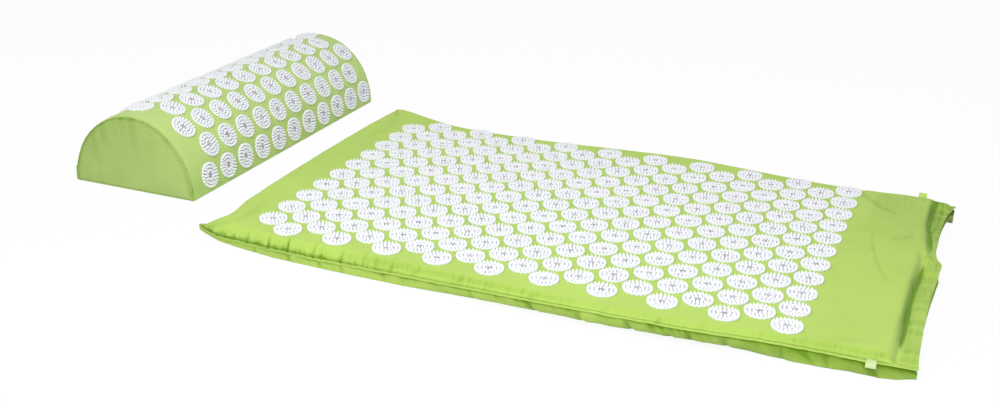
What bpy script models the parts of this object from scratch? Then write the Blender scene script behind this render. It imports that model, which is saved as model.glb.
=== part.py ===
"""Acupressure mat with its half-round pillow, in metres, +Z up.

The origin lies under the middle of the mat's disc field, on the surface that the mat rests on.
+X runs along the mat to its open foot end, +Y across it, and the pillow lies beyond the head end.
The mat is a sewn cloth cover over a foam pad that slides out at the foot, and the pillow is a
sewn half-round cover over a foam core, closed by a zip along the back of its base.
"""

import math

import bmesh
import bpy
import numpy as np
from mathutils import Matrix, Vector

# Cloth, foam, sewn-on tape and the running gap between touching pieces
CLOTH = 0.0008
GAP = 0.0003
FOAM_THICKNESS = 0.0200
TAPE_THICKNESS = 0.0005
FOAM_BOTTOM = CLOTH + GAP + TAPE_THICKNESS + GAP
MAT_TOP = FOAM_BOTTOM + FOAM_THICKNESS + GAP + CLOTH

# Moulded disc: a round plate that rises to a crown of spikes
DISC_RADIUS = 0.0143
DISC_SPIKES = 5
SPIKE_HEIGHT = 0.0048
SPIKE_RING_RADIUS = 0.0092
VALLEY_HEIGHT = 0.0012
VALLEY_RING_RADIUS = 0.0070

# Disc field of the mat: staggered columns across the mat
FIELD_COLUMNS = 20
COLUMN_PITCH = 0.0277
ROW_PITCH = 0.0370
LONG_COLUMN = 11
SHORT_COLUMN = 10
# The cloth lies drawn towards the head in its middle, and pushed out on its far side
DRAWN_MIDDLE = 0.0037
DRAWN_NEAR_SHARE = 0.38
DRAWN_CENTRE_SHARE = 0.10
DRAWN_SPREAD_SHARE = 0.50
PUSHED_FAR = 0.0060
PUSHED_CENTRE_SHARE = 0.27
PUSHED_SPREAD_SHARE = 0.38
FIELD_HALF_LENGTH = COLUMN_PITCH * (FIELD_COLUMNS - 1) / 2 + DISC_RADIUS
FIELD_HALF_WIDTH = ROW_PITCH * (LONG_COLUMN - 1) / 2 + DISC_RADIUS

# Plan of the mat's cover: bare margins round the disc field
HEAD_MARGIN = 0.0510
FOOT_MARGIN = 0.0670
SIDE_MARGIN = 0.0107
HEAD_X = -(FIELD_HALF_LENGTH + HEAD_MARGIN)
PANEL_END_X = FIELD_HALF_LENGTH + FOOT_MARGIN
MAT_LENGTH = PANEL_END_X - HEAD_X
MAT_HALF_WIDTH = FIELD_HALF_WIDTH + SIDE_MARGIN

# Edge of the mat's cover
SEAM_ALLOWANCE = 0.0030
ROLL_WIDTH = 0.0070
FLAT_RESERVE = 0.0008
SIDE_BULGE = 0.0008
FLOOR_INSET = 0.0050
FLOOR_CURL = 0.0015
FLOOR_CURL_HEIGHT = 0.0010

# Places along the two long seams: share of the length from the head, share of the half width,
# share of the mat's height for the seam, and share of the roll width. The ends are the ears.
NEAR_SEAM_SHARES = (
    (-0.019, -0.871, 0.26, 3.4),
    (0.010, -0.915, 0.29, 2.0),
    (0.040, -0.945, 0.33, 1.2),
    (0.076, -0.962, 0.36, 1.0),
    (0.132, -0.978, 0.39, 1.0),
    (0.233, -0.994, 0.43, 1.0),
    (0.364, -1.005, 0.50, 1.0),
    (0.506, -1.022, 0.60, 1.0),
    (0.648, -1.033, 0.71, 1.0),
    (0.769, -1.017, 0.72, 1.0),
    (0.850, -0.990, 0.68, 1.0),
    (0.931, -0.968, 0.60, 1.0),
    (1.000, -0.958, 0.57, 1.0),
)
FAR_SEAM_SHARES = (
    (-0.006, 1.176, 0.40, 3.0),
    (0.025, 1.158, 0.42, 1.8),
    (0.056, 1.118, 0.44, 1.2),
    (0.091, 1.068, 0.46, 1.0),
    (0.142, 1.010, 0.48, 1.0),
    (0.202, 0.980, 0.50, 1.0),
    (0.273, 0.978, 0.50, 1.0),
    (0.354, 1.000, 0.52, 1.0),
    (0.455, 1.045, 0.56, 1.0),
    (0.592, 1.086, 0.60, 1.0),
    (0.688, 1.055, 0.60, 1.0),
    (0.779, 1.015, 0.58, 1.0),
    (0.870, 0.988, 0.56, 1.0),
    (0.951, 1.004, 0.56, 1.0),
    (1.000, 0.998, 0.56, 1.0),
)
# Places along the head seam: share of the half width, and share of the head margin that it is drawn in
HEAD_SEAM_SHARES = (
    (1.06, 0.06),
    (0.86, 0.03),
    (0.45, 0.00),
    (0.00, 0.02),
    (-0.45, 0.08),
    (-0.76, 0.12),
)
# Lengthwise share of the way in from the seam at the two places nearest each ear's tip
EAR_TURN_SHARES = (
    (1.8, 0.9),
    (0.6, 0.4),
)
HEAD_SEAM_HEIGHT_SHARE = 0.42
HEAD_ROLL_SHARE = 1.3
ROLL_KNEE_SHARES = (0.34, 0.40)

# Foam pad of the mat, cut narrow enough to slide out at the foot
FOAM_NEAR_HALF_WIDTH = 0.1922
FOAM_FAR_HALF_WIDTH = 0.1980
FOAM_HEAD_GAP = 0.0105
FOAM_CORNER_RADIUS = 0.0550
FOAM_CORNER_STEPS = 6
FOAM_EDGE_WIDTH = 0.0042
FOAM_EDGE_HEIGHT = 0.0038
FOAM_END_X = PANEL_END_X + GAP

# End flap: the cover's cloth runs on past the foam, dips behind it and ends in an open mouth
FLAP_LENGTH = 0.0335
FLAP_SPANS = 18
# Along the flap: share of its length, and share of the mat's height
FLAP_FALL_SHARES = (
    (0.00, 1.000),
    (0.07, 0.980),
    (0.14, 0.910),
    (0.21, 0.780),
    (0.28, 0.620),
    (0.34, 0.500),
    (0.40, 0.450),
    (0.47, 0.470),
    (0.60, 0.580),
    (0.80, 0.630),
    (1.00, 0.550),
)
# Across the flap, near to far: share of its width, and share of its length that the mouth reaches
FLAP_REACH_SHARES = (
    (0.00, 0.96),
    (0.07, 0.92),
    (0.20, 0.83),
    (0.37, 0.85),
    (0.50, 0.92),
    (0.57, 0.97),
    (0.60, 0.84),
    (0.64, 0.73),
    (0.75, 0.67),
    (0.85, 0.79),
    (0.93, 0.94),
    (1.00, 0.96),
)
# Across the flap: share of its width, and share of the valley behind the foam that a ridge fills
FLAP_RIDGE_SHARES = (
    (0.00, 0.00),
    (0.52, 0.00),
    (0.60, 0.75),
    (0.67, 0.15),
    (0.73, 0.00),
    (1.00, 0.00),
)
FLAP_RIDGE_HEIGHT_SHARE = 0.80
FLAP_FREE_SHARE = 0.52
FLAP_RIPPLE = 0.0012
FLAP_RIPPLES = 3.5
FLAP_LIFT = 0.0045
FLAP_NEAR_TAPER = 0.0070
FLAP_FAR_TAPER = 0.0090
# Height of the flap's corners at the mouth, as shares of the mat's height
NEAR_CORNER_SHARE = 0.46
FAR_CORNER_SHARE = 0.76
# Along the lower layer: share of the flap's length, and share of the way up to the upper layer
FLAP_WALL_SHARES = (
    (0.00, 1.00),
    (0.30, 0.96),
    (0.55, 0.93),
    (0.80, 0.90),
    (1.00, 0.86),
)
FLAP_FLOOR_INSET = 0.0060

# Hook-and-loop tape inside the mouth
TAPE_WIDTH = 0.0100
TAPE_MOUTH_INSET = 0.0012

# Folded ribbon tabs sewn over the side seams near the foot
RIBBON_WIDTH = 0.0100
RIBBON_THICKNESS = 0.0006
RIBBON_REACH = 0.0085
RIBBON_LOOP_RADIUS = 0.0028
RIBBON_LOOP_STEPS = 8
RIBBON_FOOT_DISTANCE = 0.0057
RIBBON_CLEAR = 0.0006

# Pillow: a half-round prism lying across the head end
PILLOW_X = -0.4755
PILLOW_Y = 0.1025
PILLOW_WIDTH = 0.1570
PILLOW_HEIGHT = 0.0865
PILLOW_LENGTH = 0.4270
PILLOW_DISC_SHIFT = 0.0070
PILLOW_ROWS = 8
PILLOW_LONG_ROW = int((PILLOW_LENGTH - 2 * (DISC_RADIUS + PILLOW_DISC_SHIFT)) / ROW_PITCH) + 1
PILLOW_ROW_PITCH = 0.0296
PILLOW_FIRST_EDGE = 0.0052
PILLOW_END_CROWN = 0.0030
PILLOW_CROWN_RING_SHARE = 0.62
ARC_SAMPLES = 720

# Zip along the back of the pillow, over its base
ZIP_END_MARGIN = 0.0235
ZIP_LENGTH = PILLOW_LENGTH - 2 * ZIP_END_MARGIN
ZIP_BEAD_WIDTH = 0.0016
ZIP_BEAD_HEIGHT = 0.0012
STOP_LENGTH = 0.0030
STOP_WIDTH = 0.0044
STOP_THICKNESS = 0.0010
SLIDER_LENGTH = 0.0090
SLIDER_WIDTH = 0.0072
SLIDER_PLATE = 0.0010
SLIDER_FLANGE = 0.0009
BAIL_LENGTH = 0.0062
BAIL_WIDTH = 0.0014
BAIL_RISE = 0.0021
BAIL_WALL = 0.0009
PULL_PIN_RADIUS = 0.0005
PULL_EYE_LENGTH = 0.0062
PULL_ARM_WIDTH = 0.0011
PULL_TAB_LENGTH = 0.0200
PULL_TAB_WIDTH = 0.0072
PULL_THICKNESS = 0.0010
PULL_ARM_THICKNESS = 0.0008
PULL_ARM_END = 0.0007
PIN_SIDES = 12
CUT_OVERRUN = 0.0010

LIME_CLOTH = (0.50, 0.70, 0.16, 1.0)
SHADED_LIME_CLOTH = (0.36, 0.54, 0.11, 1.0)
WHITE_PLASTIC = (0.85, 0.86, 0.90, 1.0)
PALE_RIBBON = (0.72, 0.84, 0.50, 1.0)
CREAM_FOAM = (0.86, 0.84, 0.74, 1.0)
ZIP_METAL = (0.70, 0.71, 0.73, 1.0)


def clear_scene():
    for obj in list(bpy.data.objects):
        bpy.data.objects.remove(obj, do_unlink=True)


def collection(name):
    """A new collection linked to the scene."""
    made = bpy.data.collections.new(name)
    bpy.context.scene.collection.children.link(made)
    return made


def finish(name, color, roughness, metallic=0.0):
    """A Principled material."""
    material = bpy.data.materials.new(name)
    material.use_nodes = True
    shader = material.node_tree.nodes["Principled BSDF"]
    shader.inputs["Base Color"].default_value = color
    shader.inputs["Roughness"].default_value = roughness
    shader.inputs["Metallic"].default_value = metallic
    return material


def place(name, bm, material, home, *more):
    """Turns a bmesh into a named object with its materials in the given collection."""
    mesh = bpy.data.meshes.new(name)
    bmesh.ops.recalc_face_normals(bm, faces=bm.faces[:])
    bm.to_mesh(mesh)
    bm.free()
    for used in (material, *more):
        mesh.materials.append(used)
    obj = bpy.data.objects.new(name, mesh)
    home.objects.link(obj)
    return obj


def thicken(obj, thickness, offset=-1.0):
    """Gives an open surface its cloth thickness."""
    wall = obj.modifiers.new("thickness", "SOLIDIFY")
    wall.thickness = thickness
    wall.offset = offset
    wall.use_even_offset = True
    return wall


def join_with(obj, other, operation):
    """Adds an exact Boolean that keeps each side's own material."""
    boolean = obj.modifiers.new(operation.lower(), "BOOLEAN")
    boolean.operation = operation
    boolean.object = other
    boolean.solver = "EXACT"
    boolean.material_mode = "TRANSFER"
    other.hide_render = True
    other.display_type = "WIRE"


def strip(bm, rings, closed):
    """Lofts a surface through rings of equal count, and returns the rings' vertices."""
    rows = [[bm.verts.new(point) for point in ring] for ring in rings]
    count = len(rows[0])
    spans = count if closed else count - 1
    for low, high in zip(rows, rows[1:]):
        for i in range(spans):
            j = (i + 1) % count
            bm.faces.new((low[i], low[j], high[j], high[i]))
    return rows


def box_into(bm, low, high):
    """Adds a box between two corners."""
    size = Vector(high) - Vector(low)
    middle = (Vector(high) + Vector(low)) / 2
    matrix = Matrix.Translation(middle) @ Matrix.Diagonal((*size, 1.0))
    bmesh.ops.create_cube(bm, size=1.0, matrix=matrix)


def blend_from(shares, t):
    """Reads a two-column table of shares at t, with straight runs between its rows."""
    return float(np.interp(t, [row[0] for row in shares], [row[1] for row in shares]))


# The moulded discs

def crown_into(bm, matrix):
    """Adds one disc's upper face, a ring of spikes with valleys between, and returns its rim."""
    sides = 2 * DISC_SPIKES
    rim = []
    ring = []
    for i in range(sides):
        turn = 2 * math.pi * i / sides
        spiked = i % 2 == 0
        radius = SPIKE_RING_RADIUS if spiked else VALLEY_RING_RADIUS
        height = SPIKE_HEIGHT if spiked else VALLEY_HEIGHT
        out = Vector((math.cos(turn), math.sin(turn), 0.0))
        rim.append(bm.verts.new(matrix @ (out * DISC_RADIUS)))
        ring.append(bm.verts.new(matrix @ (out * radius + Vector((0.0, 0.0, height)))))
    middle = bm.verts.new(matrix @ Vector((0.0, 0.0, VALLEY_HEIGHT)))
    for i in range(sides):
        j = (i + 1) % sides
        bm.faces.new((rim[i], rim[j], ring[j], ring[i])).material_index = 1
        bm.faces.new((ring[i], ring[j], middle)).material_index = 1
    return rim


def loop_edges(bm, verts):
    """The edges round a loop of vertices, made where they are missing."""
    edges = []
    for a, b in zip(verts, verts[1:] + verts[:1]):
        edges.append(bm.edges.get((a, b)) or bm.edges.new((a, b)))
    return edges


def fill_round(bm, outline, rims, normal):
    """Fills a flat outline with cloth, leaving out the discs that stand in it."""
    edges = loop_edges(bm, outline)
    for rim in rims:
        edges += loop_edges(bm, rim)
    bmesh.ops.triangle_fill(bm, use_beauty=True, use_dissolve=False, edges=edges, normal=normal)


def field_places():
    """Centres of the mat's discs: odd columns are longer by one and stand half a pitch over."""
    for column in range(FIELD_COLUMNS):
        count = LONG_COLUMN if column % 2 else SHORT_COLUMN
        x = (column - (FIELD_COLUMNS - 1) / 2) * COLUMN_PITCH
        for row in range(count):
            yield as_it_lies(x, (row - (count - 1) / 2) * ROW_PITCH)


def as_it_lies(x, y):
    """Moves a place of the even field to where the slack cloth carries it."""
    along = x / FIELD_HALF_LENGTH
    across = y / FIELD_HALF_WIDTH
    middle = math.exp(-((along - DRAWN_CENTRE_SHARE) / DRAWN_SPREAD_SHARE) ** 2)
    bulge = math.exp(-((along - PUSHED_CENTRE_SHARE) / PUSHED_SPREAD_SHARE) ** 2)
    far = max(0.0, across) ** 3
    return x - DRAWN_MIDDLE * middle * (1.0 - DRAWN_NEAR_SHARE * across), y + PUSHED_FAR * bulge * far


# The mat's cover

def side_stations(shares, inward):
    """Seam point, seam height, inward direction and roll width at each row of a side's table."""
    for along, across, height, roll in shares:
        x = HEAD_X + along * MAT_LENGTH
        y = across * MAT_HALF_WIDTH
        width = roll * ROLL_WIDTH
        if roll == 1.0:
            width = min(width, abs(y) - FIELD_HALF_WIDTH - FLAT_RESERVE)
        yield Vector((x, y, 0.0)), height * MAT_TOP, inward, width


def edge_stations():
    """The cover's sewn edge, from the foot along the near side, the head and the far side."""
    near = list(side_stations(NEAR_SEAM_SHARES, Vector((0.0, 1.0, 0.0))))
    far = list(side_stations(FAR_SEAM_SHARES, Vector((0.0, -1.0, 0.0))))
    head = []
    for across, drawn in HEAD_SEAM_SHARES:
        point = Vector((HEAD_X + drawn * HEAD_MARGIN, across * MAT_HALF_WIDTH, 0.0))
        height = HEAD_SEAM_HEIGHT_SHARE * MAT_TOP
        head.append((point, height, Vector((1.0, 0.0, 0.0)), HEAD_ROLL_SHARE * ROLL_WIDTH))
    for i, (near_turn, far_turn) in enumerate(EAR_TURN_SHARES):
        near[i] = (*near[i][:2], Vector((near_turn, 1.0, 0.0)).normalized(), near[i][3])
        far[i] = (*far[i][:2], Vector((far_turn, -1.0, 0.0)).normalized(), far[i][3])
    return near[::-1] + head[::-1] + far


def at(point, inward, inset, height):
    """The point moved inwards over the plan and lifted to a height."""
    moved = point + inward * inset
    return Vector((moved.x, moved.y, height))


def edge_profiles(sections, side):
    """Outer and inner rings of a cover panel from its section at each edge station.

    A section starts with a point further inside, which only steers the first corner.
    """
    outer, inner = [], []
    for (point, _, inward, _), section in zip(edge_stations(), sections):
        drawn = offset_line(section, side * CLOTH)
        outer.append([at(point, inward, *place) for place in section[1:]])
        inner.append([at(point, inward, *place) for place in drawn[1:]])
    return [list(ring) for ring in zip(*outer)], [list(ring) for ring in zip(*inner)]


def close_sheets(bm, outer, inner):
    """Joins two sheets of rings along their last ring and both of their ends."""
    for a, b, c, d in zip(outer[-1], outer[-1][1:], inner[-1][1:], inner[-1]):
        bm.faces.new((a, b, c, d))
    for end in (0, -1):
        for i in range(len(outer) - 1):
            bm.faces.new((outer[i][end], outer[i + 1][end], inner[i + 1][end], inner[i][end]))


def foot_edge(bm, outer, inner):
    """Closes the cloth's cut edge along the foot, between the two ends of the first ring."""
    bm.faces.new((outer[0][0], outer[0][-1], inner[0][-1], inner[0][0]))


def mat_top_panel(cloth, plastic, parts):
    """Top panel: flat under the discs, rolled over the foam's edge to a seam that stands out."""
    knee_inset, knee_fall = ROLL_KNEE_SHARES
    sections = []
    for _, height, _, roll in edge_stations():
        top = height + GAP / 2 + CLOTH
        sections.append((
            (2 * roll, MAT_TOP),
            (roll, MAT_TOP),
            (knee_inset * roll, MAT_TOP - knee_fall * (MAT_TOP - top)),
            (0.0, top),
            (-SEAM_ALLOWANCE, top),
        ))
    outer_rings, inner_rings = edge_profiles(sections, -1.0)
    bm = bmesh.new()
    outer = strip(bm, outer_rings, closed=False)
    inner = strip(bm, inner_rings, closed=False)
    bm.faces.new(inner[0])
    close_sheets(bm, outer, inner)
    foot_edge(bm, outer, inner)
    rims = [crown_into(bm, Matrix.Translation((x, y, MAT_TOP))) for x, y in field_places()]
    fill_round(bm, outer[0], rims, Vector((0.0, 0.0, 1.0)))
    return place("mat_top_panel", bm, cloth, parts, plastic)


def mat_bottom_panel(cloth, parts):
    """Bottom panel: flat on the floor, with sides that bulge and climb to the seam."""
    sections = []
    for _, height, _, _ in edge_stations():
        low = height - GAP / 2 - CLOTH
        sections.append((
            (2 * FLOOR_INSET, 0.0),
            (FLOOR_INSET, 0.0),
            (FLOOR_CURL, FLOOR_CURL_HEIGHT),
            (-SIDE_BULGE, (low + FLOOR_CURL_HEIGHT) / 2),
            (0.0, low),
            (-SEAM_ALLOWANCE, low),
        ))
    outer_rings, inner_rings = edge_profiles(sections, 1.0)
    bm = bmesh.new()
    outer = strip(bm, outer_rings, closed=False)
    inner = strip(bm, inner_rings, closed=False)
    bm.faces.new(outer[0])
    bm.faces.new(inner[0])
    close_sheets(bm, outer, inner)
    foot_edge(bm, outer, inner)
    return place("mat_bottom_panel", bm, cloth, parts)


def face_up(obj, up=True):
    """Turns an open surface so that its largest face looks up, or down."""
    mesh = obj.data
    largest = max(mesh.polygons, key=lambda face: face.area)
    if (largest.normal.z > 0.0) != up:
        mesh.flip_normals()


def mat_foam_pad(foam, parts):
    """Foam pad: a slab with rounded head corners and eased edges, square at the foot."""
    low_x = HEAD_X + FOAM_HEAD_GAP
    reach = FOAM_CORNER_RADIUS
    outline = [(FOAM_END_X, -FOAM_NEAR_HALF_WIDTH), (FOAM_END_X, FOAM_FAR_HALF_WIDTH)]
    for start, centre_y in ((0.5, FOAM_FAR_HALF_WIDTH - reach), (1.0, reach - FOAM_NEAR_HALF_WIDTH)):
        for i in range(FOAM_CORNER_STEPS + 1):
            turn = math.pi * (start + i / FOAM_CORNER_STEPS / 2)
            outline.append((low_x + reach + reach * math.cos(turn), centre_y + reach * math.sin(turn)))
    centre = Vector(((low_x + FOAM_END_X) / 2, (FOAM_FAR_HALF_WIDTH - FOAM_NEAR_HALF_WIDTH) / 2, 0.0))
    half = Vector(((FOAM_END_X - low_x) / 2, (FOAM_FAR_HALF_WIDTH + FOAM_NEAR_HALF_WIDTH) / 2, 0.0))
    eased = Vector((1.0 - FOAM_EDGE_WIDTH / half.x, 1.0 - FOAM_EDGE_WIDTH / half.y, 0.0))
    rings = []
    top = FOAM_BOTTOM + FOAM_THICKNESS
    for height, pulled in (
        (FOAM_BOTTOM, True),
        (FOAM_BOTTOM + FOAM_EDGE_HEIGHT, False),
        (top - FOAM_EDGE_HEIGHT, False),
        (top, True),
    ):
        share = eased if pulled else Vector((1.0, 1.0, 0.0))
        rings.append([
            Vector((centre.x + (x - centre.x) * share.x, centre.y + (y - centre.y) * share.y, height))
            for x, y in outline
        ])
    bm = bmesh.new()
    rows = strip(bm, rings, closed=True)
    bm.faces.new(rows[0])
    bm.faces.new(rows[-1])
    return place("mat_foam_pad", bm, foam, parts)


# The end flap and what is sewn in its mouth

def flap_reach(across):
    """Length of the flap at a share across it, from the foam's end to the mouth."""
    return FLAP_LENGTH * blend_from(FLAP_REACH_SHARES, across)


def flap_y(across, along):
    """Place across the flap, whose two ends taper in towards the mouth."""
    near = NEAR_SEAM_SHARES[-1][1] * MAT_HALF_WIDTH + FLAP_NEAR_TAPER * along
    far = FAR_SEAM_SHARES[-1][1] * MAT_HALF_WIDTH - FLAP_FAR_TAPER * along
    return near + (far - near) * across


def flap_seam_height(far, along):
    """Height of the flap's seam: it carries on from the panel's and ends at the corner."""
    start = (FAR_SEAM_SHARES if far else NEAR_SEAM_SHARES)[-1][2]
    end = FAR_CORNER_SHARE if far else NEAR_CORNER_SHARE
    return (start + (end - start) * along) * MAT_TOP


def flap_point(across, along, under=0.0):
    """A point on the flap's upper face, or below it by a distance."""
    far = across > 0.5
    y = flap_y(across, along)
    free = max(0.0, (along - FLAP_FREE_SHARE) / (1.0 - FLAP_FREE_SHARE))
    ripple = FLAP_RIPPLE * math.sin(2 * math.pi * FLAP_RIPPLES * across)
    level = blend_from(FLAP_FALL_SHARES, along)
    level += max(0.0, FLAP_RIDGE_HEIGHT_SHARE - level) * blend_from(FLAP_RIDGE_SHARES, across)
    crown = level * MAT_TOP + (FLAP_LIFT * across ** 2 + ripple) * free
    edge = flap_seam_height(far, along) + GAP / 2 + CLOTH
    inset = abs(y - flap_y(float(far), along)) / ROLL_WIDTH
    knee_inset, knee_fall = ROLL_KNEE_SHARES
    rise = float(np.interp(inset, (0.0, knee_inset, 1.0), (0.0, 1.0 - knee_fall, 1.0)))
    return Vector((flap_x(across, along), y, edge + (crown - edge) * rise - under))


def flap_spans():
    """Shares across the flap: its two rolled edges, and even spans between them."""
    width = flap_y(1.0, 0.0) - flap_y(0.0, 0.0)
    roll = ROLL_WIDTH / width
    knee = ROLL_KNEE_SHARES[0] * roll
    even = [roll + (1.0 - 2 * roll) * i / FLAP_SPANS for i in range(FLAP_SPANS + 1)]
    return [0.0, knee, *even, 1.0 - knee, 1.0]


def mat_flap_upper(cloth, parts):
    """Upper layer of the flap: falls over the foam's end, dips and runs out to the mouth."""
    rings = [[flap_point(across, along) for across in flap_spans()] for along, _ in FLAP_FALL_SHARES]
    bm = bmesh.new()
    strip(bm, rings, closed=False)
    flap = place("mat_flap_upper", bm, cloth, parts)
    face_up(flap)
    thicken(flap, CLOTH)
    return flap


def flap_x(across, along):
    """Place along the flap at a share across it."""
    return PANEL_END_X + GAP + flap_reach(across) * along


def mat_flap_lower(cloth, parts):
    """Lower layer of the flap: flat on the floor, with side walls that stand up to the mouth."""
    rings = []
    for along, climb in FLAP_WALL_SHARES:
        near = flap_y(0.0, along)
        far = flap_y(1.0, along)
        near_x = flap_x(0.0, along)
        far_x = flap_x(1.0, along)
        near_top = (flap_seam_height(False, along) - GAP / 2 - CLOTH) * climb
        far_top = (flap_seam_height(True, along) - GAP / 2 - CLOTH) * climb
        inset = FLAP_FLOOR_INSET / (far - near)
        shares = [inset + (1.0 - 2 * inset) * i / FLAP_SPANS for i in range(FLAP_SPANS + 1)]
        rings.append([
            Vector((near_x, near, near_top)),
            Vector((near_x, near - SIDE_BULGE, (near_top + FLOOR_CURL_HEIGHT) / 2)),
            Vector((near_x, near + FLOOR_CURL, FLOOR_CURL_HEIGHT)),
            *(Vector((flap_x(share, along), flap_y(share, along), 0.0)) for share in shares),
            Vector((far_x, far - FLOOR_CURL, FLOOR_CURL_HEIGHT)),
            Vector((far_x, far + SIDE_BULGE, (far_top + FLOOR_CURL_HEIGHT) / 2)),
            Vector((far_x, far, far_top)),
        ])
    bm = bmesh.new()
    strip(bm, rings, closed=False)
    flap = place("mat_flap_lower", bm, cloth, parts)
    face_up(flap, up=False)
    thicken(flap, CLOTH)
    return flap


def mouth_tapes(cloth, parts):
    """Hook tape under the upper layer, and loop tape on the lower one."""
    hook_rings, loop_rings = [], []
    for inset in (TAPE_MOUTH_INSET + TAPE_WIDTH, TAPE_MOUTH_INSET):
        hook_ring, loop_ring = [], []
        for across in flap_spans()[3:-3]:
            along = 1.0 - inset / flap_reach(across)
            point = flap_point(across, along, CLOTH + 2 * GAP)
            hook_ring.append(point)
            loop_ring.append(Vector((point.x, point.y, CLOTH + GAP + TAPE_THICKNESS)))
        hook_rings.append(hook_ring)
        loop_rings.append(loop_ring)
    for name, rings in (("mat_hook_tape", hook_rings), ("mat_loop_tape", loop_rings)):
        bm = bmesh.new()
        strip(bm, rings, closed=False)
        tape = place(name, bm, cloth, parts)
        face_up(tape)
        thicken(tape, TAPE_THICKNESS)


def ribbon_tab(name, shares, outward, ribbon, parts):
    """A ribbon folded over the side seam, with a soft loop outside it."""
    x = PANEL_END_X - RIBBON_FOOT_DISTANCE
    along = (x - HEAD_X) / MAT_LENGTH
    seam_y = float(np.interp(along, [row[0] for row in shares], [row[1] for row in shares]))
    height = float(np.interp(along, [row[0] for row in shares], [row[2] for row in shares])) * MAT_TOP
    root = abs(seam_y) * MAT_HALF_WIDTH + RIBBON_CLEAR
    half_lip = CLOTH + GAP / 2 + GAP
    centre = root + RIBBON_REACH - RIBBON_LOOP_RADIUS
    path = [(root, height + half_lip)]
    for i in range(RIBBON_LOOP_STEPS + 1):
        turn = math.pi * (0.5 - i / RIBBON_LOOP_STEPS)
        path.append((centre + RIBBON_LOOP_RADIUS * math.cos(turn), height + RIBBON_LOOP_RADIUS * math.sin(turn)))
    path.append((root, height - half_lip))
    rings = []
    for side in (-RIBBON_WIDTH / 2, RIBBON_WIDTH / 2):
        rings.append([Vector((x + side, outward * y, z)) for y, z in path])
    bm = bmesh.new()
    strip(bm, rings, closed=False)
    tab = place(name, bm, ribbon, parts)
    turn_outwards(tab, Vector((x, outward * centre, height)))
    thicken(tab, RIBBON_THICKNESS, offset=1.0)
    return tab


def turn_outwards(obj, inside):
    """Turns an open surface so that its faces look away from a point inside it."""
    mesh = obj.data
    away = sum((face.center - inside).dot(face.normal) * face.area for face in mesh.polygons)
    if away < 0.0:
        mesh.flip_normals()


# The pillow

def arch():
    """The pillow's outline, from the front of its base over the top to the zip, as (x, z).

    Each row of discs sits on a flat facet of its own, one row pitch wide along the arc.
    """
    half = PILLOW_WIDTH / 2
    turns = np.linspace(0.0, math.pi, ARC_SAMPLES + 1)
    x = half * np.cos(turns)
    z = PILLOW_HEIGHT * np.sin(turns)
    run = np.concatenate(([0.0], np.cumsum(np.hypot(np.diff(x), np.diff(z)))))
    marks = [PILLOW_FIRST_EDGE + i * PILLOW_ROW_PITCH for i in range(PILLOW_ROWS + 1)]
    points = [(float(np.interp(mark, run, x)), float(np.interp(mark, run, z))) for mark in marks]
    return [(half, CLOTH + GAP), *points]


def zip_plane():
    """The pillow's upright back under the curved panel: its X, and the height it reaches."""
    return arch()[-1]


def offset_line(points, distance):
    """Moves an open line sideways to its right, keeping its corners mitred."""
    moved = []
    for i, point in enumerate(points):
        here = Vector(point)
        before = (here - Vector(points[i - 1])).normalized() if i else None
        after = (Vector(points[i + 1]) - here).normalized() if i + 1 < len(points) else None
        before = before or after
        after = after or before
        middle = (before + after).normalized()
        normal = Vector((middle.y, -middle.x))
        stretch = 1.0 / max(middle.dot(before), 0.5)
        moved.append(tuple(here + normal * distance * stretch))
    return moved


def pillow_section(distance):
    """The arch moved inwards by a distance, closed by a flat base that clears the base panel."""
    x, z = zip_plane()
    base = CLOTH + GAP
    line = offset_line([*arch(), (x, base)], -distance)
    return [(line[0][0], base), *line[1:-1], (line[-1][0], base)]


def in_pillow(x, y, z):
    """A point of the pillow's own frame, in the part's frame."""
    return Vector((PILLOW_X + x, PILLOW_Y + y, z))


def facet_discs(bm, points, row):
    """Adds the discs of one facet of the arch, and returns their rims and the facet's normal."""
    start = Vector(points[row + 1])
    end = Vector(points[row + 2])
    middle = (start + end) / 2
    along = (end - start).normalized()
    normal = Vector((along.y, 0.0, -along.x))
    turn = Matrix((
        (-along.x, 0.0, normal.x),
        (0.0, 1.0, 0.0),
        (-along.y, 0.0, normal.z),
    )).to_4x4()
    count = PILLOW_LONG_ROW - row % 2
    rims = []
    for i in range(count):
        y = (i - (count - 1) / 2) * ROW_PITCH + PILLOW_DISC_SHIFT
        rims.append(crown_into(bm, Matrix.Translation(in_pillow(middle.x, y, middle.y)) @ turn))
    return rims, normal


def pillow_top_panel(cloth, plastic, parts):
    """Curved panel that carries the discs in rows that alternate between long and short."""
    half = PILLOW_LENGTH / 2
    points = arch()
    bm = bmesh.new()
    outer = [[bm.verts.new(in_pillow(x, y, z)) for y in (-half, half)] for x, z in points]
    inner_rings = [[in_pillow(x, y, z) for y in (-half, half)] for x, z in offset_line(points, -CLOTH)]
    inner = strip(bm, inner_rings, closed=False)
    bm.faces.new((*outer[0], *reversed(outer[1])))
    for row in range(PILLOW_ROWS):
        rims, normal = facet_discs(bm, points, row)
        fill_round(bm, [*outer[row + 1], *reversed(outer[row + 2])], rims, normal)
    close_sheets(bm, outer, inner)
    bm.faces.new((*outer[0], *reversed(inner[0])))
    return place("pillow_top_panel", bm, cloth, parts, plastic)


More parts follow.
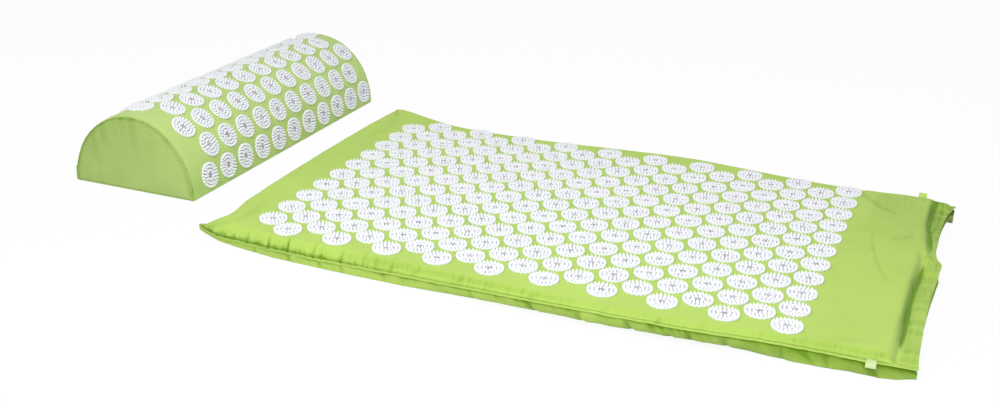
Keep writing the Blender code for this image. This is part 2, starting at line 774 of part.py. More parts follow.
def pillow_end(name, side, cloth, parts):
    """Half-moon end panel, sewn inside the curved panel's edge and lightly crowned."""
    section = pillow_section(CLOTH + GAP)
    centre = Vector((0.0, sum(z for _, z in section) / len(section)))
    edge_y = side * PILLOW_LENGTH / 2
    rings = [[in_pillow(x, edge_y, z) for x, z in section]]
    for share, rise in ((PILLOW_CROWN_RING_SHARE, PILLOW_END_CROWN),):
        ring = []
        for point in section:
            x, z = centre + (Vector(point) - centre) * share
            ring.append(in_pillow(x, edge_y + side * rise, z))
        rings.append(ring)
    bm = bmesh.new()
    rows = strip(bm, rings, closed=True)
    bm.faces.new(rows[-1])
    panel = place(name, bm, cloth, parts)
    turn_outwards(panel, in_pillow(0.0, 0.0, centre.y))
    thicken(panel, CLOTH)
    return panel


def pillow_base_panel(cloth, parts):
    half = PILLOW_LENGTH / 2
    low = in_pillow(zip_plane()[0], -half, 0.0)
    high = in_pillow(PILLOW_WIDTH / 2, half, CLOTH)
    bm = bmesh.new()
    box_into(bm, low, high)
    return place("pillow_base_panel", bm, cloth, parts)


def pillow_foam_core(foam, parts):
    """Foam core: the arch's section drawn in by the cover and its running gap."""
    section = pillow_section(CLOTH + GAP)
    half = PILLOW_LENGTH / 2 - CLOTH - GAP
    rings = [[in_pillow(x, y, z) for x, z in section] for y in (-half, half)]
    bm = bmesh.new()
    rows = strip(bm, rings, closed=True)
    bm.faces.new(rows[0])
    bm.faces.new(rows[-1])
    return place("pillow_foam_core", bm, foam, parts)


# The zip on the pillow's back

def zip_middle():
    """Height of the line where the two rows of coil meet."""
    return (zip_plane()[1] + CLOTH) / 2


def zip_tapes(cloth, parts, cutters):
    """Two tapes with their half of the coil, meeting along the middle line."""
    back, top = zip_plane()
    half = PILLOW_LENGTH / 2
    coil = ZIP_LENGTH / 2
    middle = zip_middle()
    for name, low, high, toward in (
        ("pillow_zip_tape_upper", middle + GAP / 2, top - GAP, 1.0),
        ("pillow_zip_tape_lower", CLOTH + GAP, middle - GAP / 2, -1.0),
    ):
        bm = bmesh.new()
        box_into(bm, in_pillow(back, -half, low), in_pillow(back + CLOTH, half, high))
        tape = place(name, bm, cloth, parts)
        inner = middle + toward * GAP / 2
        outer = inner + toward * ZIP_BEAD_WIDTH
        bead_low = in_pillow(back - ZIP_BEAD_HEIGHT, -coil, min(inner, outer))
        bead_high = in_pillow(back + CLOTH / 2, coil, max(inner, outer))
        bead = bmesh.new()
        box_into(bead, bead_low, bead_high)
        join_with(tape, place(name + "_coil", bead, cloth, cutters), "UNION")


def zip_stops(metal, parts):
    """Clamped stops at both ends of the coil."""
    back = zip_plane()[0]
    coil = ZIP_LENGTH / 2
    middle = zip_middle()
    for name, side in (("pillow_zip_stop_near", -1.0), ("pillow_zip_stop_far", 1.0)):
        inner = side * (coil + GAP)
        outer = inner + side * STOP_LENGTH
        low = in_pillow(back - GAP - STOP_THICKNESS, min(inner, outer), middle - STOP_WIDTH / 2)
        high = in_pillow(back - GAP, max(inner, outer), middle + STOP_WIDTH / 2)
        bm = bmesh.new()
        box_into(bm, low, high)
        place(name, bm, metal, parts)


def slider_y():
    """Middle of the slider at rest, closed against the far stop."""
    return ZIP_LENGTH / 2 - SLIDER_LENGTH / 2 - GAP


def slider_face():
    """Outer face of the slider's plate, from the pillow's middle along X."""
    return zip_plane()[0] - ZIP_BEAD_HEIGHT - GAP - SLIDER_PLATE


def pull_axis():
    """Where the pull's pin turns: between the slider's plate and its bail, as (x, y, z)."""
    return in_pillow(slider_face() - GAP - PULL_PIN_RADIUS, slider_y(), zip_middle())


def zip_slider(metal, parts, cutters):
    """Slider: a plate with two flanges over the coil, and a bail that holds the pull."""
    y = slider_y()
    middle = zip_middle()
    face = slider_face()
    half = SLIDER_LENGTH / 2
    wide = SLIDER_WIDTH / 2
    bm = bmesh.new()
    tape_side = zip_plane()[0] - GAP
    box_into(bm, in_pillow(face, y - half, middle - wide), in_pillow(tape_side, y + half, middle + wide))
    slider = place("pillow_zip_slider", bm, metal, parts)
    channel = bmesh.new()
    channel_half = wide - SLIDER_FLANGE
    box_into(
        channel,
        in_pillow(face + SLIDER_PLATE, y - half - CUT_OVERRUN, middle - channel_half),
        in_pillow(tape_side + CUT_OVERRUN, y + half + CUT_OVERRUN, middle + channel_half),
    )
    join_with(slider, place("slider_channel", channel, metal, cutters), "DIFFERENCE")
    bail = bmesh.new()
    reach = BAIL_LENGTH / 2
    narrow = BAIL_WIDTH / 2
    box_into(
        bail,
        in_pillow(face - BAIL_RISE - BAIL_WALL, y - reach, middle - narrow),
        in_pillow(face + SLIDER_PLATE / 2, y + reach, middle + narrow),
    )
    join_with(slider, place("slider_bail", bail, metal, cutters), "UNION")
    eye = bmesh.new()
    box_into(
        eye,
        in_pillow(face - BAIL_RISE, y - reach + BAIL_WALL, middle - narrow - CUT_OVERRUN),
        in_pillow(face, y + reach - BAIL_WALL, middle + narrow + CUT_OVERRUN),
    )
    join_with(slider, place("slider_eye", eye, metal, cutters), "DIFFERENCE")
    return slider


def zip_pull(metal, parts, cutters):
    """Pull: a pin under the bail, two arms beside it and a rounded tab, lying along the zip."""
    axis = pull_axis()
    inner = BAIL_WIDTH / 2 + GAP
    outer = inner + PULL_ARM_WIDTH
    thick = PULL_THICKNESS / 2
    flat = PULL_ARM_THICKNESS / 2
    end = PULL_EYE_LENGTH + PULL_TAB_LENGTH
    bm = bmesh.new()
    low = axis + Vector((-thick, PULL_EYE_LENGTH, -PULL_TAB_WIDTH / 2))
    high = axis + Vector((thick, end, PULL_TAB_WIDTH / 2))
    box_into(bm, low, high)
    corners = [edge for edge in bm.edges if is_tab_corner(edge, axis.y + end)]
    bmesh.ops.bevel(
        bm,
        geom=corners,
        offset=PULL_TAB_WIDTH / 4,
        affect="EDGES",
        segments=3,
        profile=0.5,
        material=-1,
    )
    pull = place("pillow_zip_pull", bm, metal, parts)
    for name, side in (("pull_arm_upper", 1.0), ("pull_arm_lower", -1.0)):
        arm = bmesh.new()
        span = sorted((side * inner, side * outer))
        box_into(
            arm,
            axis + Vector((-flat, -PULL_ARM_END, span[0])),
            axis + Vector((flat, PULL_EYE_LENGTH + PULL_THICKNESS, span[1])),
        )
        join_with(pull, place(name, arm, metal, cutters), "UNION")
    pin = bmesh.new()
    bmesh.ops.create_cone(
        pin,
        cap_ends=True,
        segments=PIN_SIDES,
        radius1=PULL_PIN_RADIUS,
        radius2=PULL_PIN_RADIUS,
        depth=2 * inner + PULL_ARM_WIDTH,
        matrix=Matrix.Translation(axis),
    )
    join_with(pull, place("pull_pin", pin, metal, cutters), "UNION")
    return pull


def is_tab_corner(edge, end_y):
    """True for the two short edges at the tab's free end that run through its thickness."""
    a, b = (vert.co for vert in edge.verts)
    across = abs(a.x - b.x) > PULL_THICKNESS / 2
    return across and abs(a.y - end_y) < GAP and abs(b.y - end_y) < GAP


def main():
    clear_scene()
    parts = collection("acupressure_mat_set")
    cutters = collection("cutters")
    cloth = finish("lime_cloth", LIME_CLOTH, 0.85)
    side_cloth = finish("shaded_lime_cloth", SHADED_LIME_CLOTH, 0.88)
    plastic = finish("white_plastic", WHITE_PLASTIC, 0.35)
    ribbon = finish("pale_ribbon", PALE_RIBBON, 0.75)
    foam = finish("cream_foam", CREAM_FOAM, 0.95)
    metal = finish("zip_metal", ZIP_METAL, 0.30, 1.0)

    mat_top_panel(cloth, plastic, parts)
    mat_bottom_panel(side_cloth, parts)
    mat_foam_pad(foam, parts)
    mat_flap_upper(cloth, parts)
    mat_flap_lower(side_cloth, parts)
    mouth_tapes(side_cloth, parts)
    ribbon_tab("mat_ribbon_near", NEAR_SEAM_SHARES, -1.0, ribbon, parts)
    ribbon_tab("mat_ribbon_far", FAR_SEAM_SHARES, 1.0, ribbon, parts)

    pillow_top_panel(cloth, plastic, parts)
    pillow_end("pillow_end_near", -1.0, side_cloth, parts)
    pillow_end("pillow_end_far", 1.0, side_cloth, parts)
    pillow_base_panel(side_cloth, parts)
    pillow_foam_core(foam, parts)
    zip_tapes(side_cloth, parts, cutters)
    zip_stops(metal, parts)
    zip_slider(metal, parts, cutters)
    zip_pull(metal, parts, cutters)


main()
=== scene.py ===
"""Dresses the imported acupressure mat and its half-round pillow: sewn cloth, discs, zip and stage.

+X runs along the mat to its open foot, +Y across it to the side away from the camera, +Z up.
Each piece is made by an operator of its own, and all sizes are in metres.
"""

import bisect
import functools
import math

import bmesh
import bpy
from bpy.props import FloatProperty, FloatVectorProperty, PointerProperty
from mathutils import Matrix, Vector, noise


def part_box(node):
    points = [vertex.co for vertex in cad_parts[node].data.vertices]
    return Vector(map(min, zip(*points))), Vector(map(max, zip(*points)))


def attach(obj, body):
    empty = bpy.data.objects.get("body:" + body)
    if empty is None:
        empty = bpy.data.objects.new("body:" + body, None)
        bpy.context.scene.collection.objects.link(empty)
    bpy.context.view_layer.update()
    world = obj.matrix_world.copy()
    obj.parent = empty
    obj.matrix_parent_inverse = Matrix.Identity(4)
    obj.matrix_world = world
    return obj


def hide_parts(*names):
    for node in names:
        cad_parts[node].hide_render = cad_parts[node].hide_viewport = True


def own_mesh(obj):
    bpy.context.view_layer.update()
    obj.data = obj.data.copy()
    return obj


bl_info = {
    "name": "Acupressure Mat and Pillow",
    "version": (1, 0, 0),
    "blender": (4, 5, 0),
    "location": "3D View > Sidebar > Acupressure Mat",
    "description": "Builds a spiked mat in a sewn cover with its half-round pillow, piece by piece",
    "category": "Object",
}

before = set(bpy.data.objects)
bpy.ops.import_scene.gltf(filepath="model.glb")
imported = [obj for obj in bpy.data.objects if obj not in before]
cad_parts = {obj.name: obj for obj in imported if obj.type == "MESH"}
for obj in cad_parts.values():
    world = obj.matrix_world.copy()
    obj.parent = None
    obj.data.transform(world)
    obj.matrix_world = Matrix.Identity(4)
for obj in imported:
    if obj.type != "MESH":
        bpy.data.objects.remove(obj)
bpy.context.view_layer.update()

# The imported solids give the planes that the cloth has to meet
MAT_TOP = float(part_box("mat_flap_upper")[1][2])
FOAM_LOW, FOAM_HIGH = (Vector(corner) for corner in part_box("mat_foam_pad"))
HEAD_X = -0.3285
FOOT_X = float(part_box("mat_top_panel")[1][0])
LOOP_TAPE_TOP = float(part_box("mat_loop_tape")[1][2])
PILLOW_LOW, PILLOW_HIGH = (Vector(corner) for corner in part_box("pillow_base_panel"))

# Disc lattice of the mat
COLUMNS = 20
COLUMN_PITCH = 0.0277
ROW_PITCH = 0.0370
LONG_COLUMN = 11
# The lattice as it lies: its middle drawn towards the head, its far side pushed out
FIELD_HALF_LENGTH = 0.27745
FIELD_HALF_WIDTH = 0.1993
DRAWN_MIDDLE = 0.0037
DRAWN_NEAR_SHARE = 0.38
DRAWN_CENTRE = 0.10
DRAWN_SPREAD = 0.50
PUSHED_FAR = 0.0060
PUSHED_CENTRE = 0.27
PUSHED_SPREAD = 0.38

# Near long seam, from the ear's tip to the foot: x, |y|, height, how far the floor line lies
# inside the seam, and width of the roll from the seam up to the flat top
NEAR_EDGE = (
    (-0.3412, 0.1830, 0.0092, 0.0062, 0.0300),
    (-0.3270, 0.1910, 0.0082, 0.0081, 0.0230),
    (-0.3100, 0.1970, 0.0072, 0.0056, 0.0125),
    (-0.2830, 0.2010, 0.0080, 0.0024, 0.0085),
    (-0.2590, 0.2042, 0.0086, 0.0020, 0.0080),
    (-0.2310, 0.2057, 0.0088, -0.0010, 0.0075),
    (-0.2000, 0.2070, 0.0090, -0.0012, 0.0080),
    (-0.1500, 0.2085, 0.0100, -0.0014, 0.0085),
    (-0.1060, 0.2090, 0.0107, -0.0004, 0.0085),
    (0.0000, 0.2140, 0.0140, 0.0112, 0.0090),
    (0.1070, 0.2170, 0.0168, 0.0144, 0.0090),
    (0.1500, 0.2160, 0.0170, 0.0166, 0.0090),
    (0.1950, 0.2135, 0.0168, 0.0177, 0.0080),
    (0.2400, 0.2075, 0.0165, 0.0077, 0.0070),
    (0.2800, 0.2035, 0.0152, 0.0004, 0.0070),
    (0.3220, 0.2000, 0.0135, -0.0014, 0.0070),
    (FOOT_X, 0.2000, 0.0133, -0.0008, 0.0070),
)
FAR_EDGE = (
    (-0.3325, 0.2470, 0.0092, 0.0030, 0.0180),
    (-0.3110, 0.2430, 0.0097, 0.0050, 0.0120),
    (-0.2910, 0.2350, 0.0101, 0.0060, 0.0090),
    (-0.2670, 0.2243, 0.0106, 0.0060, 0.0075),
    (-0.2330, 0.2120, 0.0110, 0.0050, 0.0070),
    (-0.1920, 0.2058, 0.0115, 0.0040, 0.0060),
    (-0.1450, 0.2054, 0.0115, 0.0030, 0.0055),
    (-0.0900, 0.2100, 0.0117, 0.0020, 0.0070),
    (-0.0220, 0.2195, 0.0128, 0.0020, 0.0090),
    (0.0700, 0.2280, 0.0138, 0.0020, 0.0100),
    (0.1346, 0.2216, 0.0138, 0.0020, 0.0100),
    (0.1960, 0.2132, 0.0134, 0.0020, 0.0080),
    (0.2570, 0.2085, 0.0129, 0.0020, 0.0065),
    (0.3116, 0.2125, 0.0131, 0.0020, 0.0050),
    (FOOT_X, 0.2130, 0.0135, 0.0020, 0.0042),
)
# Head seam from the near ear to the far one: y, x and height
HEAD_EDGE = (
    (-0.1830, -0.3412, 0.0092),
    (-0.1720, -0.3290, 0.0088),
    (-0.1500, -0.3232, 0.0085),
    (-0.1200, -0.3238, 0.0092),
    (-0.0600, -0.3262, 0.0097),
    (0.0000, -0.3275, 0.0097),
    (0.0950, -0.3284, 0.0097),
    (0.1800, -0.3275, 0.0097),
    (0.2226, -0.3262, 0.0096),
    (0.2360, -0.3272, 0.0094),
    (0.2470, -0.3325, 0.0092),
)
# Width of the roll along the head, and width of the seam allowance before it varies
HEAD_ROLL = 0.0095
LIP = 0.0018

# Section of the seam allowance, from its outer edge in: share of the lip's width, rise
LIP_SECTION = (
    (1.00, -0.0006),
    (0.60, 0.0005),
    (0.22, 0.0003),
)
# Section of the top cloth: share of the roll's width, and share of the climb from seam to top
TOP_SECTION = (
    (0.070, 0.00),
    (-0.020, 0.13),
    (0.020, 0.25),
    (0.100, 0.34),
    (0.190, 0.48),
    (0.300, 0.66),
    (0.430, 0.81),
    (0.580, 0.91),
    (0.740, 0.965),
    (0.880, 0.992),
    (1.000, 1.00),
)
# Section of the bottom cloth from the seam down: bulge share, share of the height, floor share
SIDE_SECTION = (
    (-0.20, 1.00, 0.00),
    (0.30, 0.90, 0.00),
    (0.75, 0.76, 0.02),
    (1.00, 0.62, 0.08),
    (1.00, 0.48, 0.18),
    (0.82, 0.34, 0.30),
    (0.56, 0.21, 0.46),
    (0.30, 0.10, 0.66),
    (0.10, 0.03, 0.88),
    (0.00, 0.00, 1.30),
)
# How far the shade of the gathers reaches up from the near seam at the head end, and how deep
# in shade each ring lies along the rest, where a thin ridge stands over the groove
GATHER_REACH = 0.0062
RIDGED_SHADE = (0.0, 0.0, 0.2, 1.0, 0.7, 0.1, 0.15, 0.55, 0.85, 0.75, 0.45, 0.20, 0.07, 0.0)
# Along the near seam: x, shade of the gathered band, shade of the ridged band
NEAR_SHADE = (
    (-0.3350, 0.30, 0.00),
    (-0.3200, 0.90, 0.00),
    (-0.3050, 1.05, 0.00),
    (-0.2300, 1.00, 0.00),
    (-0.1600, 0.60, 0.15),
    (-0.1200, 0.15, 0.36),
    (0.0000, 0.00, 0.36),
    (0.0600, 0.00, 0.28),
    (0.1100, 0.00, 0.12),
    (0.2200, 0.00, 0.14),
    (0.2700, 0.00, 0.24),
    (0.3444, 0.00, 0.32),
)

# Puckers above the near seam: place along x, reach up the roll, depth
NEAR_PUCKERS = (
    (-0.3110, 0.0024, 0.0008),
    (-0.3011, 0.0030, 0.0010),
    (-0.2920, 0.0024, 0.0008),
    (-0.2817, 0.0024, 0.0009),
    (-0.2728, 0.0060, 0.0020),
    (-0.2640, 0.0024, 0.0008),
    (-0.2550, 0.0024, 0.0008),
    (-0.2472, 0.0060, 0.0022),
    (-0.2360, 0.0024, 0.0008),
    (-0.2249, 0.0080, 0.0026),
    (-0.2100, 0.0024, 0.0008),
    (-0.1951, 0.0090, 0.0016),
    (-0.1850, 0.0024, 0.0008),
    (-0.1640, 0.0070, 0.0012),
    (-0.1407, 0.014, 0.0010),
    (-0.1105, 0.015, 0.0010),
    (-0.0853, 0.013, 0.0007),
    (-0.0400, 0.012, 0.0006),
    (0.0350, 0.013, 0.0007),
    (0.0980, 0.012, 0.0006),
    (0.1550, 0.013, 0.0006),
)
# Creases down the near side below the seam: place along x, slant, depth
SIDE_CREASES = (
    (-0.2980, 0.10, 0.0009),
    (-0.2640, 0.20, 0.0012),
    (-0.2249, 0.30, 0.0015),
    (-0.1900, 0.40, 0.0012),
    (-0.1660, 0.50, 0.0014),
    (-0.1190, 0.60, 0.0014),
    (-0.0980, -0.30, 0.0014),
    (-0.0560, 0.60, 0.0012),
    (-0.0265, 0.40, 0.0012),
    (0.0338, 0.50, 0.0015),
    (0.0787, 0.70, 0.0021),
    (0.1253, 0.60, 0.0024),
    (0.1363, -0.50, 0.0018),
    (0.1483, 0.60, 0.0021),
    (0.1679, -0.40, 0.0024),
    (0.1813, 0.80, 0.0024),
    (0.2118, 0.50, 0.0021),
    (0.2614, 0.40, 0.0015),
    (0.3000, 0.40, 0.0012),
)
# Soft creases in the top cloth: points over the plan, width, depth (below zero for a ridge)
TOP_CREASES = (
    (
        ((0.3042, 0.079), (0.3075, 0.0451), (0.3165, 0.0044), (0.3246, -0.0237), (0.3317, -0.0358)),
        0.0016,
        0.0014,
    ),
    (((0.294, 0.1772), (0.3024, 0.1611), (0.3095, 0.1546), (0.318, 0.150)), 0.0045, 0.0022),
    (((0.274, 0.2057), (0.2842, 0.1861), (0.2972, 0.1686)), 0.0040, 0.0016),
    (((0.2776, 0.0658), (0.2897, 0.0809), (0.300, 0.090)), 0.0030, 0.0008),
    (((0.3221, 0.064), (0.3328, 0.0752), (0.3436, 0.0865)), 0.0040, 0.0010),
    (((0.2822, -0.1904), (0.2794, -0.2044)), 0.0030, 0.0012),
    (((0.2950, -0.2040), (0.3100, -0.1850), (0.3300, -0.1780)), 0.0050, 0.0010),
    (((-0.3080, 0.210), (-0.2960, 0.170), (-0.3010, 0.120)), 0.0060, 0.0010),
    (((-0.3010, -0.120), (-0.2930, -0.155), (-0.2960, -0.185)), 0.0050, 0.0012),
)
# Folds that fan in from the two ears
EAR_FOLDS = (
    (((-0.3395, -0.1840), (-0.3230, -0.1700), (-0.3080, -0.1640)), 0.0026, 0.0016),
    (((-0.3380, -0.1870), (-0.3200, -0.1800), (-0.3000, -0.1800)), 0.0028, -0.0010),
    (((-0.3360, -0.1890), (-0.3180, -0.1880), (-0.3030, -0.1890)), 0.0024, 0.0010),
    (((-0.3310, 0.2440), (-0.3160, 0.2260), (-0.3060, 0.2100)), 0.0028, 0.0014),
    (((-0.3290, 0.2450), (-0.3090, 0.2340), (-0.2900, 0.2250)), 0.0030, -0.0008),
)

# End flap. Its cloth falls from the joint to a valley past the end of the foam, then lies up on
# a shelf out to the mouth: share of the way back to the joint, share of the fall
FLAP_CREST = (
    (0.00, 0.00),
    (0.08, 0.09),
    (0.18, 0.32),
    (0.30, 0.60),
    (0.42, 0.80),
    (0.55, 0.92),
    (0.72, 0.985),
    (1.00, 1.00),
)
# Share of the way out to the mouth, share of the rise onto the shelf
FLAP_SHELF = (
    (0.00, 0.00),
    (0.08, 0.14),
    (0.18, 0.50),
    (0.30, 0.80),
    (0.45, 0.96),
    (0.62, 1.00),
    (0.85, 0.95),
    (1.00, 0.84),
)
FLAP_LENGTH = 0.0335
# Across the flap, near to far: share of the width, share of the length, distance of the valley
# from the joint, and shares of the mat's height in the valley and on the shelf
FLAP_ACROSS = (
    (0.000, 0.965, 0.0133, 0.60, 0.50),
    (0.037, 0.925, 0.0134, 0.56, 0.54),
    (0.085, 0.900, 0.0137, 0.49, 0.58),
    (0.139, 0.885, 0.0140, 0.45, 0.60),
    (0.200, 0.865, 0.0135, 0.42, 0.61),
    (0.260, 0.856, 0.0131, 0.40, 0.61),
    (0.330, 0.862, 0.0126, 0.40, 0.62),
    (0.400, 0.880, 0.0130, 0.40, 0.62),
    (0.463, 0.912, 0.0146, 0.43, 0.62),
    (0.515, 0.935, 0.0150, 0.50, 0.62),
    (0.548, 0.955, 0.0145, 0.56, 0.61),
    (0.561, 0.950, 0.0140, 0.58, 0.61),
    (0.575, 0.900, 0.0132, 0.58, 0.61),
    (0.592, 0.815, 0.0130, 0.57, 0.62),
    (0.625, 0.735, 0.0160, 0.54, 0.62),
    (0.658, 0.695, 0.0185, 0.50, 0.62),
    (0.692, 0.675, 0.0180, 0.46, 0.63),
    (0.740, 0.680, 0.0160, 0.45, 0.64),
    (0.793, 0.680, 0.0120, 0.45, 0.65),
    (0.865, 0.705, 0.0111, 0.49, 0.68),
    (0.940, 0.810, 0.0106, 0.62, 0.76),
    (0.980, 0.900, 0.0108, 0.86, 0.90),
    (1.000, 0.960, 0.0110, 0.99, 0.94),
)
# Ridge of cloth that crosses the flap to the corner of its outline: x, y, share of the height
FLAP_RIDGE = (
    (0.3440, 0.0900, 1.00),
    (0.3520, 0.0726, 0.96),
    (0.3616, 0.0467, 0.85),
    (0.3697, 0.0349, 0.74),
    (0.3762, 0.0307, 0.61),
)
RIDGE_WIDTH = 0.0085
# Share of the mat's height by which the mouth's far part hangs towards the layer below
MOUTH_DROP = 0.24
NEAR_CORNER_HEIGHT = 0.0106
FAR_CORNER_HEIGHT = 0.0175
NEAR_TAPER = 0.0070
FAR_TAPER = 0.0040

# Pillow: half-ellipse section and the rows of discs, as angles over the ellipse
PILLOW_X = -0.4755
PILLOW_Y = 0.1025
PILLOW_HALF_WIDTH = 0.0783
PILLOW_HEIGHT = 0.0862
PILLOW_LENGTH = 0.4270
PILLOW_ROWS = 8
PILLOW_FIRST_ANGLE = 13.3
PILLOW_ANGLE_PITCH = 20.9
PILLOW_SHIFT = 0.0070
ZIP_LENGTH = 0.3800


def length(name, description, default):
    """A size that a user may change, in metres."""
    return FloatProperty(name=name, description=description, default=default, unit="LENGTH")


def colour(name, description, default):
    """A colour that a user may change."""
    return FloatVectorProperty(
        name=name,
        description=description,
        default=default,
        subtype="COLOR",
        min=0.0,
        max=1.0,
    )


class MatSizes(bpy.types.PropertyGroup):
    """Sizes of the mat's cover and discs."""

    disc_radius: length("Disc radius", "Radius of a moulded disc", 0.0143)
    plate_height: length("Plate height", "Thickness of a disc's plate above the cloth", 0.0016)
    spike_height: length("Spike height", "Height of a spike above its plate", 0.0028)
    spike_radius: length("Spike radius", "Radius of a spike at its foot", 0.00195)
    cloth: length("Cloth thickness", "Thickness of the cover's cloth", 0.0006)
    slack: length("Slack", "Height of the soft waves in the cloth", 0.0007)


class ClothLooks(bpy.types.PropertyGroup):
    """Colours and textures that the pieces share."""

    cloth_color: colour("Cloth colour", "Lime cotton of the cover", (0.470, 0.670, 0.125))
    disc_color: colour("Disc colour", "White moulded plastic", (0.840, 0.855, 0.890))
    foam_color: colour("Foam colour", "Cream foam of the pads", (0.80, 0.77, 0.64))
    ribbon_color: colour("Ribbon colour", "Pale satin of the near tab", (0.56, 0.68, 0.31))
    thread_pitch: length("Thread pitch", "Distance between the cloth's threads", 0.00055)


class StageLooks(bpy.types.PropertyGroup):
    """Camera and light."""

    focal_length: FloatProperty(
        name="Focal length",
        description="Focal length on a 36 mm wide sensor",
        default=48.13,
        unit="CAMERA",
    )
    world_light: FloatProperty(
        name="World light",
        description="Strength of the even light from all round",
        default=0.58,
        min=0.0,
    )
    key_light: FloatProperty(
        name="Key light",
        description="Power of the soft lamp on the camera's side of the mat",
        default=15.2,
        min=0.0,
        unit="POWER",
    )
    key_size: length("Key size", "Width of the soft lamp", 1.3)
    key_distance: length("Key distance", "Distance of the soft lamp from the mat", 1.43)
    floor_size: length("Floor size", "Width of the floor", 14.0)


class Value:
    """A shader value that Python's operators work on."""

    def __init__(self, shader, socket):
        self.shader = shader
        self.socket = socket

    def _math(self, operation, first, second=None):
        inputs = {0: first}
        if second is not None:
            inputs[1] = second
        return self.shader.node("ShaderNodeMath", {"operation": operation}, inputs)

    def __add__(self, other):
        return self._math("ADD", self, other)

    def __radd__(self, other):
        return self._math("ADD", other, self)

    def __sub__(self, other):
        return self._math("SUBTRACT", self, other)

    def __rsub__(self, other):
        return self._math("SUBTRACT", other, self)

    def __mul__(self, other):
        return self._math("MULTIPLY", self, other)

    def __rmul__(self, other):
        return self._math("MULTIPLY", other, self)

    def __truediv__(self, other):
        return self._math("DIVIDE", self, other)

    def sine(self):
        return self._math("SINE", self)

    def absolute(self):
        return self._math("ABSOLUTE", self)

    def floor(self):
        return self._math("FLOOR", self)

    def parity(self):
        return self._math("PINGPONG", self.floor(), 1.0)


class Shader:
    """One material and the nodes that feed its Principled shader."""

    def __init__(self, name):
        self.material = bpy.data.materials.new(name)
        self.material.use_nodes = True
        self.tree = self.material.node_tree
        self.surface = self.tree.nodes["Principled BSDF"]

    def node(self, kind, settings=None, inputs=None, output=0):
        made = self.tree.nodes.new(kind)
        for key, value in (settings or {}).items():
            setattr(made, key, value)
        for key, value in (inputs or {}).items():
            self._feed(made.inputs[key], value)
        return Value(self, made.outputs[output])

    def _feed(self, socket, value):
        if isinstance(value, Value):
            self.tree.links.new(value.socket, socket)
        else:
            socket.default_value = value

    def set(self, **inputs):
        for key, value in inputs.items():
            self._feed(self.surface.inputs[key.replace("_", " ")], value)

    def noise(self, vector, scale, detail=2.0, roughness=0.5):
        inputs = {"Vector": vector, "Scale": scale, "Detail": detail, "Roughness": roughness}
        return self.node("ShaderNodeTexNoise", None, inputs)

    def mix(self, factor, first, second):
        """Mixes two colours. The node's sockets for colours share their names, so they go by number."""
        settings = {"data_type": "RGBA"}
        return self.node("ShaderNodeMix", settings, {0: factor, 6: first, 7: second}, 2)

    def spread(self, value, low, high, to_low, to_high):
        inputs = {0: value, 1: low, 2: high, 3: to_low, 4: to_high}
        return self.node("ShaderNodeMapRange", None, inputs)

    def bump(self, height, distance, strength=1.0, below=None):
        inputs = {"Height": height, "Distance": distance, "Strength": strength}
        if below is not None:
            inputs["Normal"] = below
        return self.node("ShaderNodeBump", None, inputs)

    def place(self):
        return self.node("ShaderNodeTexCoord", output="Object")

    # Reads each point's painted shade, which woven_grid stores on the mesh
    def painted_shade(self):
        return self.node("ShaderNodeAttribute", {"attribute_name": "painted_shade"}, output="Fac")

    def flat_map(self):
        return self.node("ShaderNodeUVMap", {"uv_map": "cloth"})

    def joined(self, x, y, z=0.0):
        return self.node("ShaderNodeCombineXYZ", None, {0: x, 1: y, 2: z})

    def axes(self, vector):
        made = self.tree.nodes.new("ShaderNodeSeparateXYZ")
        self.tree.links.new(vector.socket, made.inputs[0])
        return [Value(self, made.outputs[i]) for i in range(3)]


# Share of the cloth's colour left under full painted shade, and the most painted shade that a point may
# take
PAINTED_SHADE_COLOUR_SHARE = (0.31, 0.45, 0.05)
DEEPEST_PAINTED_SHADE = 1.25


def rgba(color, gain=1.0):
    return (*(min(1.0, channel * gain) for channel in color), 1.0)


def unit(value):
    """Keeps a share between 0 and 1."""
    return min(max(value, 0.0), 1.0)


def smooth_step(low, high, x):
    """Eases from 0 at low to 1 at high, which may be the smaller of the two."""
    t = unit((x - low) / (high - low))
    return t * t * (3 - 2 * t)


def hump(gap, width):
    """1 where there is no gap, easing to nearly nothing from two widths on."""
    return math.exp(-((gap / width) ** 2))


def soft_noise(x, y, pitch, seed=0.0):
    return noise.noise(Vector((x / pitch, y / pitch, seed)))


def waves(x, y, layers, seed=0.0):
    """Sum of layers of soft noise at a place, each given as height, pitch and seed."""
    return sum(height * soft_noise(x, y, pitch, seed + own) for height, pitch, own in layers)


class Track:
    """A smooth line through listed rows, read at any place between them."""

    def __init__(self, rows):
        self.x = [row[0] for row in rows]
        self.y = [row[1:] for row in rows]
        columns = range(len(rows[0]) - 1)
        slopes = []
        for k in range(len(rows) - 1):
            step = self.x[k + 1] - self.x[k]
            slopes.append([(self.y[k + 1][c] - self.y[k][c]) / step for c in columns])
        self.m = [slopes[0]]
        for before, after in zip(slopes, slopes[1:]):
            self.m.append([(a + b) / 2 if a * b > 0 else 0.0 for a, b in zip(before, after)])
        self.m.append(slopes[-1])

    def __call__(self, x):
        x = min(max(x, self.x[0]), self.x[-1])
        i = min(bisect.bisect_right(self.x, x) - 1, len(self.x) - 2)
        h = self.x[i + 1] - self.x[i]
        t = (x - self.x[i]) / h
        a = (1 + 2 * t) * (1 - t) ** 2
        b = t * (1 - t) ** 2 * h
        c = t * t * (3 - 2 * t)
        d = t * t * (t - 1) * h
        ends = zip(self.y[i], self.m[i], self.y[i + 1], self.m[i + 1])
        return [a * start + b * leave + c * end + d * arrive for start, leave, end, arrive in ends]


def add_piece(name, bm, material, body, *nodes):
    """Makes a finished object from a bmesh and lets it ride on its body."""
    mesh = bpy.data.meshes.new(name)
    for face in bm.faces:
        face.smooth = True
    bm.to_mesh(mesh)
    bm.free()
    mesh.materials.append(material)
    piece = bpy.data.objects.new(name, mesh)
    bpy.context.scene.collection.objects.link(piece)
    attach(piece, body)
    if nodes:
        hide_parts(*nodes)
    return piece


